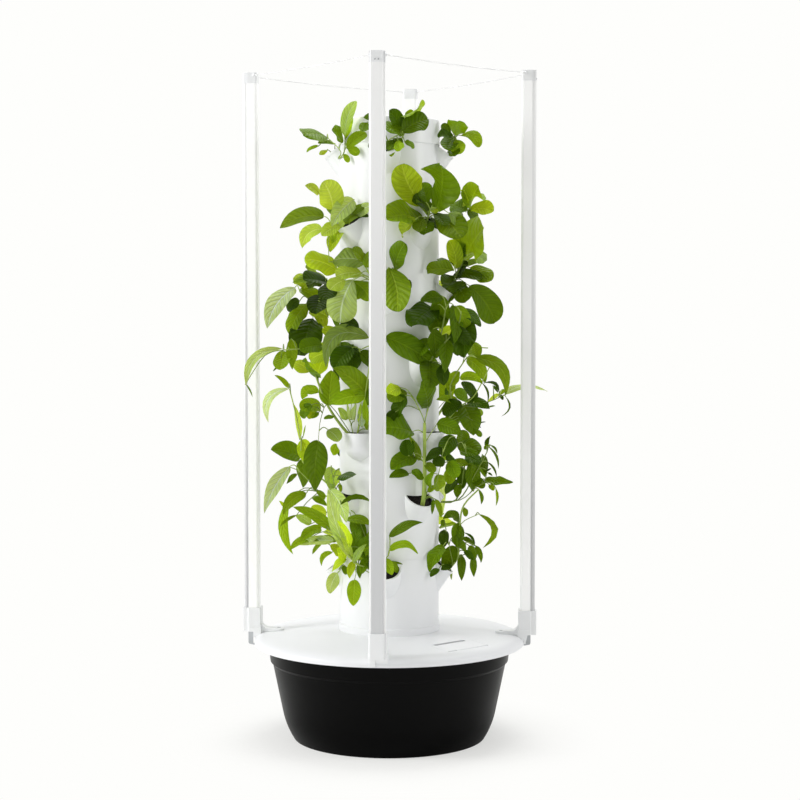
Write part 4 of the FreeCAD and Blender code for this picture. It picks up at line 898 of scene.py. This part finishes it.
        (371, 560, 371, 572, 6, "dark"), (354, 562, 349.6, 578.7, 7, "bright"),
        (358.6, 564, 360, 578.7, 5, "deep"), (354, 562, 366.6, 544, 6, "moss"),
        (359.5, 560.4, 372.9, 544.3, 10, "mid"), (355, 553, 360, 527, 12, "deep"),
        (351.4, 558.6, 340.7, 537, 6, "yellow"), (353, 558.6, 348.7, 537, 6, "mid"),
        (354.6, 580, 353.2, 605.9, 12, "mid"), (384, 560, 392, 575, 9, "mid"),
        (390, 562, 397, 573, 7, "mid"), (389.4, 536.5, 422.9, 522.4, 9, "deep", 4),
        (389.4, 550.5, 418, 554, 8, "mid", 8), (389.4, 563.5, 402.8, 564.4, 3, "mid"),
        (350, 548, 336, 520, 9, "bright"), (344, 536, 322, 532, 8, "yellow"),
        (372, 560, 378, 540, 9, "mid"),
    ), ((2.4, "stem", 370, 569, 354, 562, 340, 540, 330, 530),
        (1.4, "stem", 374, 568, 388, 556, 390, 540), (1.0, "stalk", 358, 567, 356, 574, 354.6, 580))),
    (1, 180): ((
        (322, 541.5, 312.3, 554.5, 5, "mid", 1), (332.4, 552.3, 321.7, 566, 5, "mid", 5),
        (346, 560, 332.2, 572, 8, "bright", 3), (344.3, 565.7, 346, 574.6, 6, "deep"),
        (337.5, 573.3, 330, 593.5, 11, "pale"), (344, 562, 338, 548, 9, "bright"),
        (342, 556, 330, 545, 9, "bright"),
    ), ((1.2, "stalk", 343, 562, 336, 550, 324, 541), (1.0, "stalk", 342, 567, 338, 573))),
    (1, 0): ((
        (459, 522, 442.9, 519, 9, "deep", 6), (458, 523, 455, 545, 9, "deep"),
        (479.5, 514.5, 482.7, 548, 6.5, "mid", 14), (464, 532.7, 474.6, 546, 3, "dark", 3),
        (475.5, 546, 480.9, 563, 5, "deep", 2), (463, 538, 475, 546, 6, "deep"),
        (469, 546, 474.6, 560, 7, "deep"), (464, 551.4, 472.9, 560, 6, "dark"),
        (473, 557, 474, 577, 6.5, "deep"), (461.5, 555, 461.5, 581, 7.5, "deep"),
        (443.5, 546, 429.5, 572, 13, "deep"), (439, 569, 430.4, 577, 6, "dark"),
        (456, 547, 446, 570, 13, "deep"), (452, 566, 441, 570, 6, "dark"),
        (444, 530, 443, 548, 9, "dark"), (444, 520, 441.6, 526, 5, "deep"),
        (460.8, 526, 459, 548, 7, "deep"), (450.5, 570, 451.4, 579.6, 3, "moss"),
        (464.8, 508, 465.7, 516.6, 5, "mid"), (452, 538, 466, 552, 9, "deep"),
    ), ((2.4, "stem", 455, 562, 458.6, 552, 460, 523, 464, 505, 479, 489),
        (1.2, "stem", 459, 545, 461, 524, 479, 514), (1.4, "stalk", 452, 564, 450, 550, 446, 530))),
}

# Ports out of the photograph's sight take the plant of the port across the tower
COPIES = {
    (7, 90): -90, (6, 135): -45, (5, 90): -90, (4, 45): 225, (4, 135): -45,
    (3, 58): -122, (3, 148): -32, (2, 130): -50, (1, 90): -90,
}

# Plants with blunt leaves
BLUNT = ((7, 180), (7, -90), (7, 0), (7, 90), (6, -45), (6, 45), (5, 0), (5, -90))

for row in ROWS:
    greens = Greens(row)
    spans = {}
    for (number, angle), (leaves, stems) in PLANTS.items():
        if number == row:
            spans[angle] = greens.placed(angle, leaves, stems, (number, angle) in BLUNT)
    for (number, angle), source in COPIES.items():
        if number == row:
            greens.copied(spans[source], angle - source)
    greens.finish()


# Loose grains on the growing medium in each cup

CUP_TILT = math.radians(35.0)
CUP_RADIUS = 0.034
CUP_OUT = 0.1435
UPRIGHT_CUP_OUT = 0.1095
MEDIUM_DOWN = 0.007
GRAINS = 90
GRAIN_FIELD = 0.0265
GRAIN_SMALLEST = 0.0014
GRAIN_LARGEST = 0.0034
GRAIN_POINTS = ((1, 0, 0), (-1, 0, 0), (0, 1, 0), (0, -1, 0), (0, 0, 1), (0, 0, -1))
GRAIN_FACES = ((0, 2, 4), (2, 1, 4), (1, 3, 4), (3, 0, 4), (2, 0, 5), (1, 2, 5), (3, 1, 5), (0, 3, 5))


def cup_place(row):
    # Middle of the medium's top in a cup at angle 0, and the ways along and out of its mouth
    lip = LIP_HEIGHTS[row - 1]
    if row == UPRIGHT_ROW:
        return Vector((UPRIGHT_CUP_OUT, 0, lip - MEDIUM_DOWN)), Vector((1, 0, 0)), Vector((0, 0, 1))
    sine, cosine = math.sin(CUP_TILT), math.cos(CUP_TILT)
    lift = Vector((sine, 0, cosine))
    middle = Vector((CUP_OUT - CUP_RADIUS * cosine, 0, lip + CUP_RADIUS * sine)) - lift * MEDIUM_DOWN
    return middle, Vector((cosine, 0, -sine)), lift


def make_grains():
    chance = random.Random(7)
    across = Vector((0, 1, 0))
    points, faces = [], []
    for row in ROWS:
        middle, along, lift = cup_place(row)
        angles = {angle % 360 for number, angle in [*PLANTS, *COPIES] if number == row}
        for angle in sorted(angles):
            spin = Matrix.Rotation(math.radians(angle), 3, "Z")
            for k in range(GRAINS):
                reach = GRAIN_FIELD * math.sqrt(chance.random())
                turn = chance.uniform(0, 2 * math.pi)
                size = chance.uniform(GRAIN_SMALLEST, GRAIN_LARGEST)
                spot = middle + along * reach * math.cos(turn) + across * reach * math.sin(turn)
                spot += lift * size * 0.2
                first = len(points)
                for x, y, z in GRAIN_POINTS:
                    rough = size * chance.uniform(0.6, 1.15)
                    points.append(spin @ (spot + Vector((x, y, z * 0.8)) * rough))
                faces.extend([[first + p for p in face] for face in GRAIN_FACES])
    mesh = bpy.data.meshes.new("medium_grains")
    mesh.from_pydata([tuple(p) for p in points], [], faces)
    mesh.materials.append(medium_dark)
    piece = added("medium_grains", mesh)
    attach(piece, TOWER_BODY)


make_grains()


# Floor, world and lamps

BACKDROP = "fefefc"
FLOOR_HALF = 14.0
FADE_NEAR = 0.2
FADE_FAR = 0.5
SHADOW_SHARE = 0.46
WORLD_LIGHT = 0.4

# Lamps: place, height of their aim on the tower's axis, width, height and power
LAMPS = (
    ("key_lamp", (-3.1, -1.2, 2.3), 0.8, 1.2, 1.6, 74),
    ("side_lamp", (3.0, -0.6, 1.6), 0.8, 0.6, 2.2, 26),
    ("top_lamp", (0.2, 0.6, 3.2), 0.6, 1.8, 1.8, 46),
    ("low_lamp", (-2.1, -2.3, 0.35), 0.15, 0.5, 0.4, 10),
)


def make_floor():
    # The floor keeps the shadow near the tub and turns into the plain background further out
    corners = [(x * FLOOR_HALF, y * FLOOR_HALF, 0) for x, y in ((-1, -1), (1, -1), (1, 1), (-1, 1))]
    mesh = bpy.data.meshes.new("floor")
    mesh.from_pydata(corners, [], [(0, 1, 2, 3)])
    paint = Paint("floor_paint", BACKDROP, 0.9)
    paint.tint(paint.step(paint.noise(3.0), 0.3, 0.7), "fcfcfa")
    paint.shader.inputs["Specular IOR Level"].default_value = 0.2
    plain = paint.node("ShaderNodeEmission")
    plain.inputs["Color"].default_value = linear(BACKDROP) + [1]
    reach = paint.node("ShaderNodeVectorMath", operation="LENGTH")
    paint.link(paint.place, reach.inputs[0])
    away = paint.step(reach.outputs["Value"], FADE_NEAR, FADE_FAR, 1 - SHADOW_SHARE, 1.0)
    seen = paint.node("ShaderNodeLightPath").outputs["Is Camera Ray"]
    both = paint.node("ShaderNodeMixShader")
    paint.link(paint.sum("MULTIPLY", away, seen), both.inputs[0])
    paint.link(paint.shader.outputs[0], both.inputs[1])
    paint.link(plain.outputs[0], both.inputs[2])
    paint.link(both.outputs[0], paint.output.inputs[0])
    mesh.materials.append(paint.material)
    floor = added("floor", mesh)


def make_world():
    world = bpy.data.worlds.new("studio")
    scene.world = world
    world.use_nodes = True
    tree = world.node_tree
    background = tree.nodes["Background"]
    path = tree.nodes.new("ShaderNodeLightPath")
    seen = path.outputs["Is Camera Ray"]
    for kind in ("Is Transmission Ray", "Is Glossy Ray"):
        either = tree.nodes.new("ShaderNodeMath")
        either.operation = "MAXIMUM"
        tree.links.new(seen, either.inputs[0])
        tree.links.new(path.outputs[kind], either.inputs[1])
        seen = either.outputs[0]
    strength = tree.nodes.new("ShaderNodeMapRange")
    strength.inputs["To Min"].default_value = WORLD_LIGHT
    strength.inputs["To Max"].default_value = 1.0
    background.inputs["Color"].default_value = linear(BACKDROP) + [1]
    tree.links.new(seen, strength.inputs["Value"])
    tree.links.new(strength.outputs[0], background.inputs["Strength"])


def make_lamp(name, place, aim, wide, tall, power):
    data = bpy.data.lights.new(name, "AREA")
    data.shape = "RECTANGLE"
    data.size = wide
    data.size_y = tall
    data.energy = power
    lamp = added(name, data)
    lamp.location = place
    way = Vector((0, 0, aim)) - Vector(place)
    lamp.rotation_euler = way.to_track_quat("-Z", "Y").to_euler()


make_floor()
make_world()
for lamp in LAMPS:
    make_lamp(*lamp)
